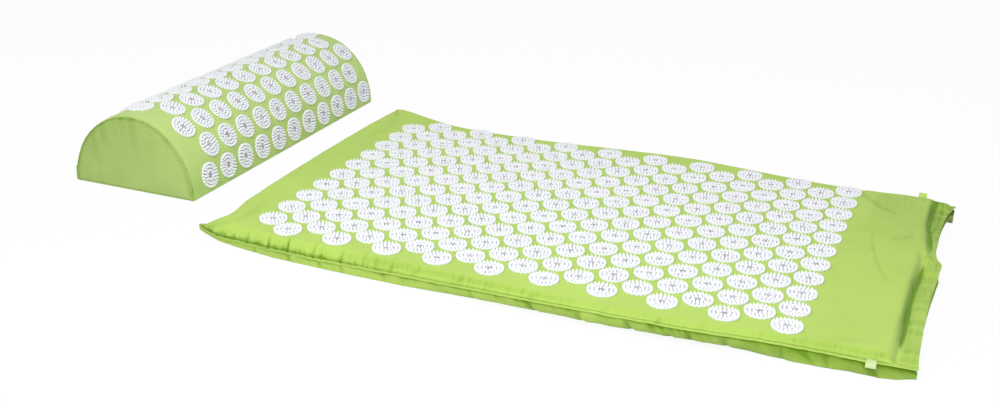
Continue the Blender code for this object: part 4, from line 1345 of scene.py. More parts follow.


# Thickness, width over the plan, and grid of the tapes inside the mouth
TAPE_THICKNESS = 0.0005
TAPE_PLAN_WIDTH = 0.0090
TAPE_COLUMNS = 4
TAPE_ROWS = 90
# Where the tapes run across, how far in from the mouth, and how far below the upper layer's cloth
TAPE_START_SHARE = 0.075
TAPE_RUN_SHARE = 0.850
TAPE_SETBACK = 0.0012
LOOP_SETBACK = 0.0004
HOOK_DROP = 0.0008


def tape_across(j):
    """Share of the flap's width at a row of the tapes."""
    return TAPE_START_SHARE + TAPE_RUN_SHARE * j / TAPE_ROWS


def hook_point(i, j):
    across = tape_across(j)
    end, valley = flap_end(across), FLAP_ACROSS_TRACK(across)[1]
    x = end - TAPE_SETBACK - TAPE_PLAN_WIDTH * (1 - i / TAPE_COLUMNS)
    out = x / valley - 1 if x < valley else (x - valley) / (end - valley)
    _, y, level, _ = flap_place(out, across)
    cloth = bpy.context.scene.mat_sizes.cloth
    return Vector((FOOT_X + x, y, level * MAT_TOP - cloth - HOOK_DROP))


def loop_point(i, j):
    x, y, _ = hook_point(i, j)
    across = tape_across(j)
    lift = flap_lift(across, (x - FOOT_X) / flap_end(across))
    return Vector((x - LOOP_SETBACK, y, LOOP_TAPE_TOP + lift))


class OBJECT_OT_end_flap(bpy.types.Operator):
    """Runs the cover's cloth past the foam into an open flap with tape inside its mouth"""

    bl_idname = "object.end_flap"
    bl_label = "End flap"

    def execute(self, context):
        cloth = context.scene.mat_sizes.cloth
        upper = woven_grid(FLAP_COLUMNS, FLAP_ROWS, flap_top_point, flap_top_shade)
        cotton = bpy.data.materials["lime_cotton"]
        piece = add_piece("flap_top_cloth", upper, cotton, "end_flap", "mat_flap_upper")
        thicken(piece, cloth)
        settle(piece)
        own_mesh(piece)
        lower = woven_grid(FLAP_FLOOR_COLUMNS, FLAP_FLOOR_ROWS, flap_floor_point, flap_floor_shade)
        bmesh.ops.reverse_faces(lower, faces=lower.faces[:])
        # The lower layer takes the side's darker copy of the cotton: painted shade
        cotton = bpy.data.materials["lime_cotton_side_painted_shade"]
        piece = add_piece("flap_floor_cloth", lower, cotton, "mat_cover", "mat_flap_lower")
        thicken(piece, cloth)
        tape = tape_material(context)
        self.tape("flap_loop_tape", tape, loop_point, "mat_cover", "mat_loop_tape", "mat_flap_lower")
        piece = self.tape(
            "flap_hook_tape", tape, hook_point, "end_flap", "mat_hook_tape", "mat_flap_upper"
        )
        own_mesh(piece)
        return {"FINISHED"}

    def tape(self, name, material, place, body, node, layer):
        piece = add_piece(name, woven_grid(TAPE_COLUMNS, TAPE_ROWS, place), material, body, node)
        thicken(piece, TAPE_THICKNESS)
        settle(piece)
        return piece


def settle(piece):
    """Applies a piece's modifiers, so that its mesh is final."""
    graph = bpy.context.evaluated_depsgraph_get()
    mesh = bpy.data.meshes.new_from_object(piece.evaluated_get(graph), depsgraph=graph)
    mesh.name = piece.name
    piece.modifiers.clear()
    piece.data = mesh


# Foam

# The mat's pad lies lower than its node, pressed by the cover, and its head corners are round
PRESSED = 0.0034
PAD_CORNER = 0.055
PAD_CORNER_SEGMENTS = 10
PAD_EDGE = 0.0070
PAD_EDGE_SEGMENTS = 4
# The pillow's core stays inside its cover: at the sides, at the top, at each end and at the floor
CORE_SIDE_GAP = 0.0040
CORE_TOP_GAP = 0.0050
CORE_END_GAP = 0.0030
CORE_BASE = 0.0025
CORE_STEPS = 40


def rounded_slab(low, high):
    """A slab of foam with two round upright corners at its head and eased edges."""
    bm = bmesh.new()
    size = high - low
    middle = (high + low) / 2
    matrix = Matrix.Translation(middle) @ Matrix.Diagonal((*size, 1.0))
    bmesh.ops.create_cube(bm, size=1.0, matrix=matrix)

    def rises(edge):
        return abs(edge.verts[0].co.z - edge.verts[1].co.z)

    def ease(edges, offset, segments):
        bmesh.ops.bevel(
            bm,
            geom=edges,
            offset=offset,
            affect="EDGES",
            segments=segments,
            profile=0.5,
            material=-1,
        )

    head = [edge for edge in bm.edges if rises(edge) > size.z / 2 and edge.verts[0].co.x < middle.x]
    ease(head, PAD_CORNER, PAD_CORNER_SEGMENTS)
    ease([edge for edge in bm.edges if rises(edge) < size.z / 4], PAD_EDGE, PAD_EDGE_SEGMENTS)
    return bm


def half_round(half_width, height, half_length, base):
    """A closed half-round bar standing on its flat side at a height over the floor."""
    bm = bmesh.new()
    ring = []
    for k in range(CORE_STEPS + 1):
        turn = math.pi * k / CORE_STEPS
        x = PILLOW_X + half_width * math.cos(turn)
        z = base + (height - base) * math.sin(turn)
        ring.append(bm.verts.new((x, PILLOW_Y - half_length, z)))
    grown = bmesh.ops.extrude_face_region(bm, geom=[bm.faces.new(ring)])
    moved = [item for item in grown["geom"] if isinstance(item, bmesh.types.BMVert)]
    bmesh.ops.translate(bm, verts=moved, vec=(0.0, 2 * half_length, 0.0))
    bmesh.ops.recalc_face_normals(bm, faces=bm.faces[:])
    return bm


class OBJECT_OT_foam(bpy.types.Operator):
    """Cuts the foam pad of the mat and the foam core of the pillow"""

    bl_idname = "object.foam_pads"
    bl_label = "Foam"

    def execute(self, context):
        foam = foam_material(context)
        pad = rounded_slab(FOAM_LOW, FOAM_HIGH - Vector((0.0, 0.0, PRESSED)))
        core = half_round(
            PILLOW_HALF_WIDTH - CORE_SIDE_GAP,
            PILLOW_HEIGHT - CORE_TOP_GAP,
            PILLOW_LENGTH / 2 - CORE_END_GAP,
            CORE_BASE,
        )
        for name, bm, body, node in (
            ("mat_foam", pad, "mat_foam", "mat_foam_pad"),
            ("pillow_foam", core, "pillow", "pillow_foam_core"),
        ):
            piece = add_piece(name, bm, foam, body, node)
        return {"FINISHED"}


# Discs

# A disc's plate: its sides, where it starts below the cloth, and how it widens from its foot
PLATE_SEGMENTS = 20
PLATE_DEPTH = 0.0006
FOOT_DRAWN_IN = 0.0004
FOOT_RISE = 0.0008
# Its rim is eased in two steps. The small hole in its middle narrows downwards
RIM_LOWER_EASE = 0.0003
RIM_UPPER_EASE = 0.0006
HOLE_RADIUS = 0.0011
HOLE_TAPER = 0.0001
HOLE_DEPTH = 0.0012
# Rings of spikes: number, share of the disc's radius, lean outwards, share of a step to turn by
SPIKE_RINGS = (
    (9, 0.37, 0.02, 0.0),
    (15, 0.65, 0.05, 0.5),
    (22, 0.905, 0.14, 0.0),
)
SPIKE_SIDES = 5
SPIKE_TIP_SHARE = 0.20
SPIKE_SUNK = 0.0003
# Edges of a plate that turn by more than this stay sharp
RIM_ANGLE = math.radians(35)


def as_mesh(bm, name):
    """Turns a bmesh into a mesh and frees it."""
    mesh = bpy.data.meshes.new(name)
    bm.to_mesh(mesh)
    bm.free()
    return mesh


def plate_mesh(sizes):
    """One disc's plate

    It has a rounded rim, a flat top and a small hole. Each extrusion after the first leaves its old
    face behind, so four faces stay inside the plate and one of them covers the hole.
    """
    bm = bmesh.new()
    radius = sizes.disc_radius
    shoulder = sizes.plate_height / 2
    foot = radius - FOOT_DRAWN_IN
    bmesh.ops.create_circle(bm, cap_ends=True, segments=PLATE_SEGMENTS, radius=foot)
    face = bm.faces[:][0]
    if face.normal.z < 0:
        face.normal_flip()
    bmesh.ops.translate(bm, verts=bm.verts[:], vec=(0.0, 0.0, -PLATE_DEPTH))
    for width, lift in (
        (-FOOT_DRAWN_IN, FOOT_RISE),
        (RIM_LOWER_EASE, shoulder),
        (RIM_UPPER_EASE, shoulder - (FOOT_RISE - PLATE_DEPTH)),
        (radius - RIM_LOWER_EASE - RIM_UPPER_EASE - HOLE_RADIUS, 0.0),
        (HOLE_TAPER, -HOLE_DEPTH),
    ):
        region = bmesh.ops.extrude_face_region(bm, geom=[face])
        face = next(item for item in region["geom"] if isinstance(item, bmesh.types.BMFace))
        centre = face.calc_center_median()
        reach = (face.verts[0].co - centre).length
        share = (reach - width) / reach
        bmesh.ops.scale(
            bm,
            verts=face.verts[:],
            vec=(share, share, 1.0),
            space=Matrix.Translation(-centre),
        )
        bmesh.ops.translate(bm, verts=face.verts[:], vec=(0.0, 0.0, lift))
    buried = [f for f in bm.faces if f.normal.z < -0.9 and f.calc_center_median().z < 0]
    bmesh.ops.delete(bm, geom=[*buried, face], context="FACES_ONLY")
    return as_mesh(bm, "plate")


def spikes_mesh(sizes):
    """One disc's spikes in three rings, each a small blunt five-sided cone."""
    bm = bmesh.new()
    half = Matrix.Translation((0.0, 0.0, sizes.spike_height / 2))
    for count, share, lean, step in SPIKE_RINGS:
        out = Matrix.Translation((share * sizes.disc_radius, 0.0, sizes.plate_height - SPIKE_SUNK))
        for k in range(count):
            turned = Matrix.Rotation(2 * math.pi * (k + step) / count, 4, "Z")
            bmesh.ops.create_cone(
                bm,
                cap_ends=False,
                segments=SPIKE_SIDES,
                radius1=sizes.spike_radius,
                radius2=sizes.spike_radius * SPIKE_TIP_SHARE,
                depth=sizes.spike_height,
                matrix=turned @ out @ Matrix.Rotation(lean, 4, "Y") @ half,
            )
    blunt = sizes.plate_height + sizes.spike_height / 2
    tips = [edge for edge in bm.edges if edge.is_boundary and edge.verts[0].co.z > blunt]
    bmesh.ops.holes_fill(bm, edges=tips, sides=SPIKE_SIDES)
    return as_mesh(bm, "spikes")


def repeat(mesh, places):
    """Copies a small mesh to many places in one bmesh."""
    bm = bmesh.new()
    for matrix in places:
        start = len(bm.verts)
        bm.from_mesh(mesh)
        bm.verts.ensure_lookup_table()
        bmesh.ops.transform(bm, matrix=matrix, verts=bm.verts[start:])
    return bm


# Turn from each disc to the next, in radians: the golden angle, so that no two discs match
SPIN_STEP = 2.399963
# About the most that the cloth tilts a disc, and the pitch of the noise behind it, in discs
DISC_TILT = 0.03
TILT_PITCH = 1.7
# How deep a disc sinks into the pillow's taut cloth, and the number that its spins count from
PILLOW_DISC_SUNK = 0.0010
PILLOW_FIRST_NUMBER = 400


def spin_of(number):
    """A turn about a disc's own axis, different for each disc and the same on each run."""
    return Matrix.Rotation((number * SPIN_STEP) % (2 * math.pi), 4, "Z")


def as_it_lies(x, y):
    """Place of a disc on the mat as it lies, from its place in the even lattice."""
    along = x / FIELD_HALF_LENGTH
    across = y / FIELD_HALF_WIDTH
    middle = hump(along - DRAWN_CENTRE, DRAWN_SPREAD)
    bulge = hump(along - PUSHED_CENTRE, PUSHED_SPREAD)
    far = max(0.0, across) ** 3
    return x - DRAWN_MIDDLE * middle * (1.0 - DRAWN_NEAR_SHARE * across), y + PUSHED_FAR * bulge * far


def mat_disc_places():
    number = 0
    for column in range(COLUMNS):
        count = LONG_COLUMN - 1 + column % 2
        flat_x = (column - (COLUMNS - 1) / 2) * COLUMN_PITCH
        for row in range(count):
            x, y = as_it_lies(flat_x, (row - (count - 1) / 2) * ROW_PITCH)
            number += 1
            roll = DISC_TILT * soft_noise(number, 0.3, TILT_PITCH)
            pitch = DISC_TILT * soft_noise(0.7, number, TILT_PITCH)
            tilt = Matrix.Rotation(roll, 4, "X") @ Matrix.Rotation(pitch, 4, "Y")
            yield Matrix.Translation((x, y, MAT_TOP)) @ tilt @ spin_of(number)


def pillow_disc_places():
    number = PILLOW_FIRST_NUMBER
    sunk = Matrix.Translation((0.0, 0.0, -PILLOW_DISC_SUNK))
    for row in range(PILLOW_ROWS):
        turn = math.radians(PILLOW_FIRST_ANGLE + row * PILLOW_ANGLE_PITCH)
        spot = pillow_skin(turn)
        normal = Vector((math.cos(turn) / PILLOW_HALF_WIDTH, 0.0, math.sin(turn) / PILLOW_HEIGHT))
        normal.normalize()
        frame = Matrix((
            (normal.z, 0.0, normal.x),
            (0.0, 1.0, 0.0),
            (-normal.x, 0.0, normal.z),
        )).to_4x4()
        count = LONG_COLUMN - row % 2
        for i in range(count):
            y = PILLOW_Y + (i - (count - 1) / 2) * ROW_PITCH + PILLOW_SHIFT
            number += 1
            yield Matrix.Translation((spot.x, y, spot.z)) @ frame @ sunk @ spin_of(number)


class OBJECT_OT_discs(bpy.types.Operator):
    """Sets the moulded discs on the mat and on the pillow"""

    bl_idname = "object.spiked_discs"
    bl_label = "Discs"

    def execute(self, context):
        sizes = context.scene.mat_sizes
        plastic = plastic_material(context)
        plate = plate_mesh(sizes)
        spikes = spikes_mesh(sizes)
        for name, body, places in (
            ("mat", "mat_cover", list(mat_disc_places())),
            ("pillow", "pillow", list(pillow_disc_places())),
        ):
            piece = add_piece(f"{name}_disc_plates", repeat(plate, places), plastic, body)
            piece.data.set_sharp_from_angle(angle=RIM_ANGLE)
            add_piece(f"{name}_disc_spikes", repeat(spikes, places), plastic, body)
        bpy.data.meshes.remove(plate)
        bpy.data.meshes.remove(spikes)
        return {"FINISHED"}


# The pillow

ARC_COLUMNS = 130
LENGTH_ROWS = 150
END_COLUMNS = 150
END_ROWS = 22
BASE_COLUMNS = 20
BASE_ROWS = 50
# Cloth never goes lower than this, so that it doesn't show through the floor
CLOTH_FLOOR = 0.0003
# The arch starts at this turn in front and ends at this height behind, where the zip is sewn on
ARCH_START = 0.013
ARCH_END_HEIGHT = 0.0172
# How much the rows crowd towards the ends, from 0 to 1
ROW_WARP_SHARE = 0.55
# At its end seams the cloth is drawn in and gathered: depth, and length over which that fades.
# The two runs turn an angle round the arch into a place in the noise
DRAWN_IN = 0.0011
DRAWN_LENGTH = 0.006
GATHER_DEPTH = 0.0001
GATHER_LENGTH = 0.005
GATHERS_PER_TURN = 46
GATHER_UNEVENNESS = ((3.0, 1.0, 1.0),)
GATHER_RUN = 4
ARCH_WAVES = ((0.0005, 0.030, 3.0),)
ARCH_RUN = 0.08


def pillow_skin(turn, grow=0.0):
    """Place on the pillow's half ellipse at a turn, seen from its end."""
    x = PILLOW_X + (PILLOW_HALF_WIDTH + grow) * math.cos(turn)
    return Vector((x, 0.0, (PILLOW_HEIGHT + grow) * math.sin(turn)))


def pillow_arch_point(i, j):
    """Curved cloth: taut over the core, drawn in at its end seams, with small gathers there."""
    last = math.pi - math.asin(ARCH_END_HEIGHT / PILLOW_HEIGHT)
    turn = ARCH_START + (last - ARCH_START) * i / ARC_COLUMNS
    even = j / LENGTH_ROWS
    warped = 0.5 - 0.5 * math.cos(math.pi * even)
    y = PILLOW_LENGTH * ((1 - ROW_WARP_SHARE) * even + ROW_WARP_SHARE * warped - 0.5)
    end = PILLOW_LENGTH / 2 - abs(y)
    uneven = waves(turn * GATHER_RUN, y, GATHER_UNEVENNESS)
    gather = math.exp(-end / GATHER_LENGTH) * math.sin(turn * GATHERS_PER_TURN + uneven)
    grow = GATHER_DEPTH * gather - DRAWN_IN * math.exp(-end / DRAWN_LENGTH)
    spot = pillow_skin(turn, grow + waves(turn * ARCH_RUN, y, ARCH_WAVES))
    return Vector((spot.x, PILLOW_Y + y, max(spot.z, CLOTH_FLOOR)))


# Painted shade on the arch: on its rim, between stitches, in a stitch, and low down
RIM_SHADE = 0.20
BETWEEN_STITCHES = 0.30
STITCH_SHADE = 0.60
LOW_SHADE = 0.20
LOW_HEIGHTS = (0.050, 0.010)


def pillow_arch_shade(i, j, spot):
    """Painted shade: the seam at each end, with a stitch in every other column, and fine lines low down.
    """
    row = min(j, LENGTH_ROWS - j)
    seam = RIM_SHADE if row == 0 else 0.0
    if row == 1:
        seam = BETWEEN_STITCHES + STITCH_SHADE * (i % 2)
    return seam + LOW_SHADE * smooth_step(*LOW_HEIGHTS, spot.z)


# Painted shade on an end: over the panel, and in its last three rows, where the seam lies
END_SHADE = 0.34
END_SHADE_START = (0.15, 0.95)
END_SEAM_SHADE = (0.10, 0.30, 0.10)


def pillow_end_shade(i, j, spot):
    """Painted shade in the seam groove round the rim of an end, and a painted shade that deepens away from
    its low corner.
    """
    up = 0.5 * spot.z / PILLOW_HEIGHT + 0.25 * (1.0 + (PILLOW_X - spot.x) / PILLOW_HALF_WIDTH)
    shade = END_SHADE * smooth_step(*END_SHADE_START, up)
    row = END_ROWS - j
    return shade + END_SEAM_SHADE[row] if row < len(END_SEAM_SHADE) else shade


# The end's outline: share of its points on the arch, and how far it lies inside the skin
END_ARCH_SHARE = 0.72
END_INSET = 0.0010
# Rings run out from a middle at this share of the height, closer together towards the rim
END_MIDDLE_SHARE = 0.42
END_RING_POWER = 0.8
# The end is crowned and has a groove along its seam, here taken over a mean radius
END_CROWN = 0.0028
END_CROWN_POWER = 2.5
END_GROOVE = 0.0012
END_GROOVE_WIDTH = 0.0016
END_RADIUS = 0.07
END_WAVES = ((0.0005, 0.030, 7.0), (0.0003, 0.012, 2.0))
END_WAVE_POWER = 6
END_SETBACK = 0.0004


def pillow_outline(k):
    """The end panel's outline, round the arch and back along the base."""
    arch = round(END_COLUMNS * END_ARCH_SHARE)
    if k <= arch:
        spot = pillow_skin(math.pi * k / arch, -END_INSET)
        return Vector((spot.x, max(spot.z, CLOTH_FLOOR)))
    share = (k - arch) / (END_COLUMNS - arch)
    half = PILLOW_HALF_WIDTH - END_INSET
    return Vector((PILLOW_X - half + 2 * half * share, CLOTH_FLOOR))


def end_point(side):
    """Places the points of an end's grid. Side is -1 for the near end and 1 for the far one."""
    centre = Vector((PILLOW_X, PILLOW_HEIGHT * END_MIDDLE_SHARE))

    def place(i, j):
        share = (j / END_ROWS) ** END_RING_POWER
        x, z = centre + (pillow_outline(i) - centre) * share
        out = END_CROWN * (1 - share ** END_CROWN_POWER)
        out -= END_GROOVE * hump((1 - share) * END_RADIUS, END_GROOVE_WIDTH)
        out += waves(x, z, END_WAVES, side) * (1 - share ** END_WAVE_POWER)
        return Vector((x, PILLOW_Y + side * (PILLOW_LENGTH / 2 - END_SETBACK + out), z))

    return place


# The base is trimmed by this all round, and is made of thicker cloth
BASE_TRIM = 0.0012
BASE_THICKNESS = 0.0008
# Looks of the pillow's arch and ends, as cloth_material takes them: gain, wash and fold lines. Both are
# the one lime cotton: the arch's gain and wash are painted light, brighter and paler, and the ends' are
# painted shade, darker and greyer
ARCH_LOOKS = (1.12, 0.22, (150.0, 0.0, 40.0))
END_LOOKS = (0.87, 0.20, (90.0, 20.0, 30.0))
# Distance between the doubled points in the middle of an end, at most
DOUBLES = 0.00002


class OBJECT_OT_pillow(bpy.types.Operator):
    """Sews the pillow's curved panel, its two half-moon ends and its base"""

    bl_idname = "object.half_round_pillow"
    bl_label = "Pillow cover"

    def execute(self, context):
        # The arch takes a brighter, paler copy of the cotton as painted light, and the ends and base a
        # darker, greyer one as painted shade
        cloth = cloth_material(context, "pillow_arch_cotton_painted_light", *ARCH_LOOKS)
        end_cloth = cloth_material(context, "pillow_end_cotton_painted_shade", *END_LOOKS)
        bm = woven_grid(ARC_COLUMNS, LENGTH_ROWS, pillow_arch_point, pillow_arch_shade)
        bmesh.ops.reverse_faces(bm, faces=bm.faces[:])
        self.taut(context, "pillow_arch_cloth", bm, cloth, "pillow_top_panel", 0.0)
        for name, side, node in (
            ("pillow_near_end_cloth", -1.0, "pillow_end_near"),
            ("pillow_far_end_cloth", 1.0, "pillow_end_far"),
        ):
            bm = woven_grid(END_COLUMNS, END_ROWS, end_point(side), pillow_end_shade)
            bmesh.ops.remove_doubles(bm, verts=bm.verts[:], dist=DOUBLES)
            self.taut(context, name, bm, end_cloth, node, PILLOW_HEIGHT / 2)
        self.base(end_cloth)
        return {"FINISHED"}

    def taut(self, context, name, bm, cloth, node, middle):
        """Adds a panel that the core fills, facing away from the pillow's middle."""
        piece = add_piece(name, bm, cloth, "pillow", node)
        turn_out(piece, Vector((PILLOW_X, PILLOW_Y, middle)))
        thicken(piece, context.scene.mat_sizes.cloth)

    def base(self, cloth):
        trim = Vector((BASE_TRIM, BASE_TRIM, 0.0))
        low, high = PILLOW_LOW + trim, PILLOW_HIGH - trim
        width, depth = high.x - low.x, high.y - low.y

        def place(i, j):
            return Vector((low.x + width * i / BASE_COLUMNS, low.y + depth * j / BASE_ROWS, 0.0))

        bm = woven_grid(BASE_COLUMNS, BASE_ROWS, place)
        bmesh.ops.reverse_faces(bm, faces=bm.faces[:])
        piece = add_piece("pillow_base_cloth", bm, cloth, "pillow", "pillow_base_panel")
        thicken(piece, BASE_THICKNESS)


def turn_out(piece, inside):
    """Turns an open piece so that its faces look away from a point inside it."""
    mesh = piece.data
    away = sum((face.center - inside).dot(face.normal) * face.area for face in mesh.polygons)
    if away < 0.0:
        mesh.flip_normals()


# The zip: grid and thickness of its tapes, which lie this far inside their nodes' outer side
ZIP_TAPE_COLUMNS = 60
ZIP_TAPE_ROWS = 4
ZIP_TAPE_THICKNESS = 0.0008
# Its coil: size and bevel of a loop, distance between loops, and how the two rows mesh
LOOP_SIZE = (0.0012, 0.0008, 0.0022)
LOOP_BEVEL = 0.0002
LOOP_PITCH = 0.0012
LOOP_BACK = 0.0006
LOOP_OFFSET = 0.0005
COIL_OVER_TAPE = 0.00015
# Height of the point that the tapes face away from
ZIP_INSIDE = 0.01


class OBJECT_OT_pillow_zip(bpy.types.Operator):
    """Sews the zip along the pillow's back and dresses its metal fittings"""

    bl_idname = "object.pillow_zip"
    bl_label = "Pillow zip"

    def execute(self, context):
        tape = tape_material(context)
        metal = metal_material()
        self.tape("zip_upper_tape", "pillow_zip_tape_upper", tape)
        self.tape("zip_lower_tape", "pillow_zip_tape_lower", tape)
        self.coil(tape)
        for part in ("slider", "pull", "stop_near", "stop_far"):
            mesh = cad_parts[f"pillow_zip_{part}"].data
            mesh.materials.clear()
            mesh.materials.append(metal)
        return {"FINISHED"}

    def tape(self, name, node, material):
        low, high = (Vector(corner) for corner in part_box(node))
        back = high.x - ZIP_TAPE_THICKNESS

        def place(i, j):
            along = low.y + (high.y - low.y) * i / ZIP_TAPE_COLUMNS
            return Vector((back, along, low.z + (high.z - low.z) * j / ZIP_TAPE_ROWS))

        bm = woven_grid(ZIP_TAPE_COLUMNS, ZIP_TAPE_ROWS, place)
        piece = add_piece(name, bm, material, "pillow", node)
        turn_out(piece, Vector((PILLOW_X, PILLOW_Y, ZIP_INSIDE)))
        thicken(piece, ZIP_TAPE_THICKNESS)

    def coil(self, tape):
        """Two rows of coil loops that mesh along the middle of the zip."""
        _, high = (Vector(corner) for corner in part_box("pillow_zip_tape_lower"))
        x = high.x - ZIP_TAPE_THICKNESS - LOOP_BACK
        middle = high.z + COIL_OVER_TAPE
        loop = bmesh.new()
        bmesh.ops.create_cube(loop, size=1.0, matrix=Matrix.Diagonal((*LOOP_SIZE, 1.0)))
        bmesh.ops.bevel(
            loop,
            geom=loop.edges[:],
            offset=LOOP_BEVEL,
            affect="EDGES",
            segments=1,
            profile=0.5,
            material=-1,
        )
        mesh = as_mesh(loop, "loop")
        places = []
        count = int(ZIP_LENGTH / LOOP_PITCH)
        for k in range(count):
            y = PILLOW_Y - ZIP_LENGTH / 2 + ZIP_LENGTH * (k + 0.5) / count
            side = LOOP_OFFSET if k % 2 else -LOOP_OFFSET
            places.append(Matrix.Translation((x, y, middle + side)))
        piece = add_piece("zip_coil", repeat(mesh, places), tape, "pillow")
        bpy.data.meshes.remove(mesh)


# Ribbon tabs

RIBBON_WIDTH = 0.0088
RIBBON_THICKNESS = 0.0004
RIBBON_COLUMNS = 6
RIBBON_ROWS = 16
# A tab starts this far inside the seam, and stays this far inside its node all round
RIBBON_ROOT = 0.0012
RIBBON_MARGIN = 0.0003
# How fast a tab leaves its root, and the shape of its loop: thinnest where the layers meet
RIBBON_SWELL_POWER = 0.7
RIBBON_PINCH_SHARE = 0.30
RIBBON_PINCH_PLACE = 0.12
# By tab: name, node, side of the mat, place in its node, share of the reach, height that it stands
# up, and width and length that the ribbon is cut to
RIBBONS = (
    ("near_ribbon_tab", "mat_ribbon_near", -1.0, 0.0006, 1.0, 0.0, (0.0100, 0.022)),
    ("far_ribbon_tab", "mat_ribbon_far", 1.0, 0.0024, 0.6, 0.0135, (0.0100, 0.026)),
)


class OBJECT_OT_ribbons(bpy.types.Operator):
    """Folds a short ribbon over each side seam near the foot"""

    bl_idname = "object.ribbon_tabs"
    bl_label = "Ribbon tabs"

    def execute(self, context):
        looks = context.scene.cloth_looks
        for color, ribbon in zip((looks.ribbon_color, looks.cloth_color), RIBBONS):
            self.tab(color, *ribbon)
        return {"FINISHED"}

    def tab(self, color, name, node, side, inset, reach_share, stand, cut):
        low, high = (Vector(corner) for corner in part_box(node))
        inner, outer = sorted((abs(low.y), abs(high.y)))
        root = inner - RIBBON_ROOT
        reach = outer - root - RIBBON_MARGIN
        level = (low.z + high.z) / 2
        half = (high.z - low.z) / 2 - RIBBON_MARGIN
        start = low.x + inset

        def place(i, j):
            turn = math.pi * (0.5 - j / RIBBON_ROWS)
            swell = math.cos(turn) ** RIBBON_SWELL_POWER if 0 < j < RIBBON_ROWS else 0.0
            pinch = math.sin(math.pi * min(swell + RIBBON_PINCH_PLACE, 1.0)) ** 0.5
            open_share = RIBBON_PINCH_SHARE + (1 - RIBBON_PINCH_SHARE) * pinch
            z = level + stand * swell + half * math.sin(turn) * open_share
            x = start + RIBBON_WIDTH * i / RIBBON_COLUMNS
            return Vector((x, side * (root + reach * swell * reach_share), z))

        bm = woven_grid(RIBBON_COLUMNS, RIBBON_ROWS, place)
        piece = add_piece(name, bm, ribbon_material(name + "_satin", color), "mat_cover", node)
        thicken(piece, RIBBON_THICKNESS)
        if side > 0:
            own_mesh(piece)


# Materials

# Slubs in the threads: scale of the noise along a slub and across it
SLUB_LONG = 60.0
SLUB_SHORT = 900.0
# Lightest and darkest dye, as shares of the cloth's colour
PALE_DYE = 1.035
DARK_DYE = 0.955
# Heights of the weave, of the lines in a fold and of the fine crumples
WEAVE_HEIGHT = 0.00022
FOLD_LINE_HEIGHT = 0.0008
CRUMPLE_HEIGHT = 0.0011
# Distance between a ribbon's ribs
RIB_PITCH = 0.0005


def cloth_material(context, name, gain, wash=0.0, run=(260.0, 0.0, 22.0)):
    """Plain-woven cotton: threads both ways, slubs, an uneven dye, and fine lines in its creases, in
    relief and in painted shade.

    Gain sets the brightness and wash draws the colour towards grey: the side and the pillow take
    copies of the one cotton whose gain and wash are painted light and shade. Run says how close the
    lines stand, how much they lean with height, and how short they are.
    """
    looks = context.scene.cloth_looks
    shader = Shader(name)
    x, y, z = shader.axes(shader.place())
    close, lean, short = run
    lined = shader.joined(x * close + z * lean, y * short, z * short)
    crimp_and_shade_lines = shader.spread(shader.noise(lined, 1.0, 2.0), 0.50, 0.34, 0.0, 1.0)
    grey = sum(looks.cloth_color) / 3
    dyed = [channel + (grey - channel) * wash for channel in looks.cloth_color]
    u, v, _ = shader.axes(shader.flat_map())
    pitch = looks.thread_pitch
    warp = (u * (math.pi / pitch)).sine().absolute()
    weft = (v * (math.pi / pitch)).sine().absolute()
    over = ((u / pitch).floor() + (v / pitch).floor()).parity()
    threads = over * warp + (1 - over) * weft
    slub = shader.noise(shader.joined(u * SLUB_LONG, v * SLUB_SHORT), 1.0, 1.0)
    slub = slub + shader.noise(shader.joined(u * SLUB_SHORT, v * SLUB_LONG), 1.0, 1.0)
    dye = shader.noise(shader.place(), 14.0, 3.0)
    color = shader.mix(
        shader.spread(dye + slub * 0.35, 0.65, 1.05, 0.0, 1.0),
        rgba(dyed, gain * DARK_DYE),
        rgba(dyed, gain * PALE_DYE),
    )
    # Painted shade: the colour is drawn towards a darker, deeper green as far as each point's painted
    # shade says, and further along the fine lines
    deep = tuple(channel * share for channel, share in zip(looks.cloth_color, PAINTED_SHADE_COLOUR_SHARE))
    painted_shade = shader.painted_shade()
    color = shader.mix(painted_shade * (0.80 + crimp_and_shade_lines * 0.6), color, rgba(deep, gain))
    weave = shader.bump(threads * 0.7 + slub * 0.3, WEAVE_HEIGHT, 0.55)
    gather = shader.bump(crimp_and_shade_lines * painted_shade * -1.0, FOLD_LINE_HEIGHT, 0.5, weave)
    crumple = shader.bump(shader.noise(shader.place(), 55.0, 3.0), CRUMPLE_HEIGHT, 0.28, gather)
    shader.set(
        Base_Color=color,
        Roughness=0.88,
        Specular_IOR_Level=0.25,
        Sheen_Weight=0.12,
        Sheen_Roughness=0.5,
        Normal=crumple,
    )
    return shader.material


def plastic_material(context):
    shader = Shader("white_moulded_plastic")
    place = shader.place()
    clouds = shader.noise(place, 120.0, 2.0)
    color = context.scene.cloth_looks.disc_color
    shader.set(
        Base_Color=shader.mix(clouds, rgba(color, 0.98), rgba(color, 1.02)),
        Roughness=shader.spread(shader.noise(place, 400.0), 0.3, 0.7, 0.36, 0.50),
        Specular_IOR_Level=0.4,
        Normal=shader.bump(shader.noise(place, 900.0), 0.00006, 0.3),
    )
    return shader.material


def foam_material(context):
    shader = Shader("cream_foam")
    place = shader.place()
    pores = shader.node("ShaderNodeTexVoronoi", None, {"Vector": place, "Scale": 900.0})
    color = context.scene.cloth_looks.foam_color
    # The middles of the pores are painted darker, as shade in the holes; the same pores give the bump
    shader.set(
        Base_Color=shader.mix(pores, rgba(color, 0.80), rgba(color, 1.05)),
        Roughness=0.95,
        Specular_IOR_Level=0.15,
        Normal=shader.bump(pores, 0.0006, 0.7),
    )
    return shader.material


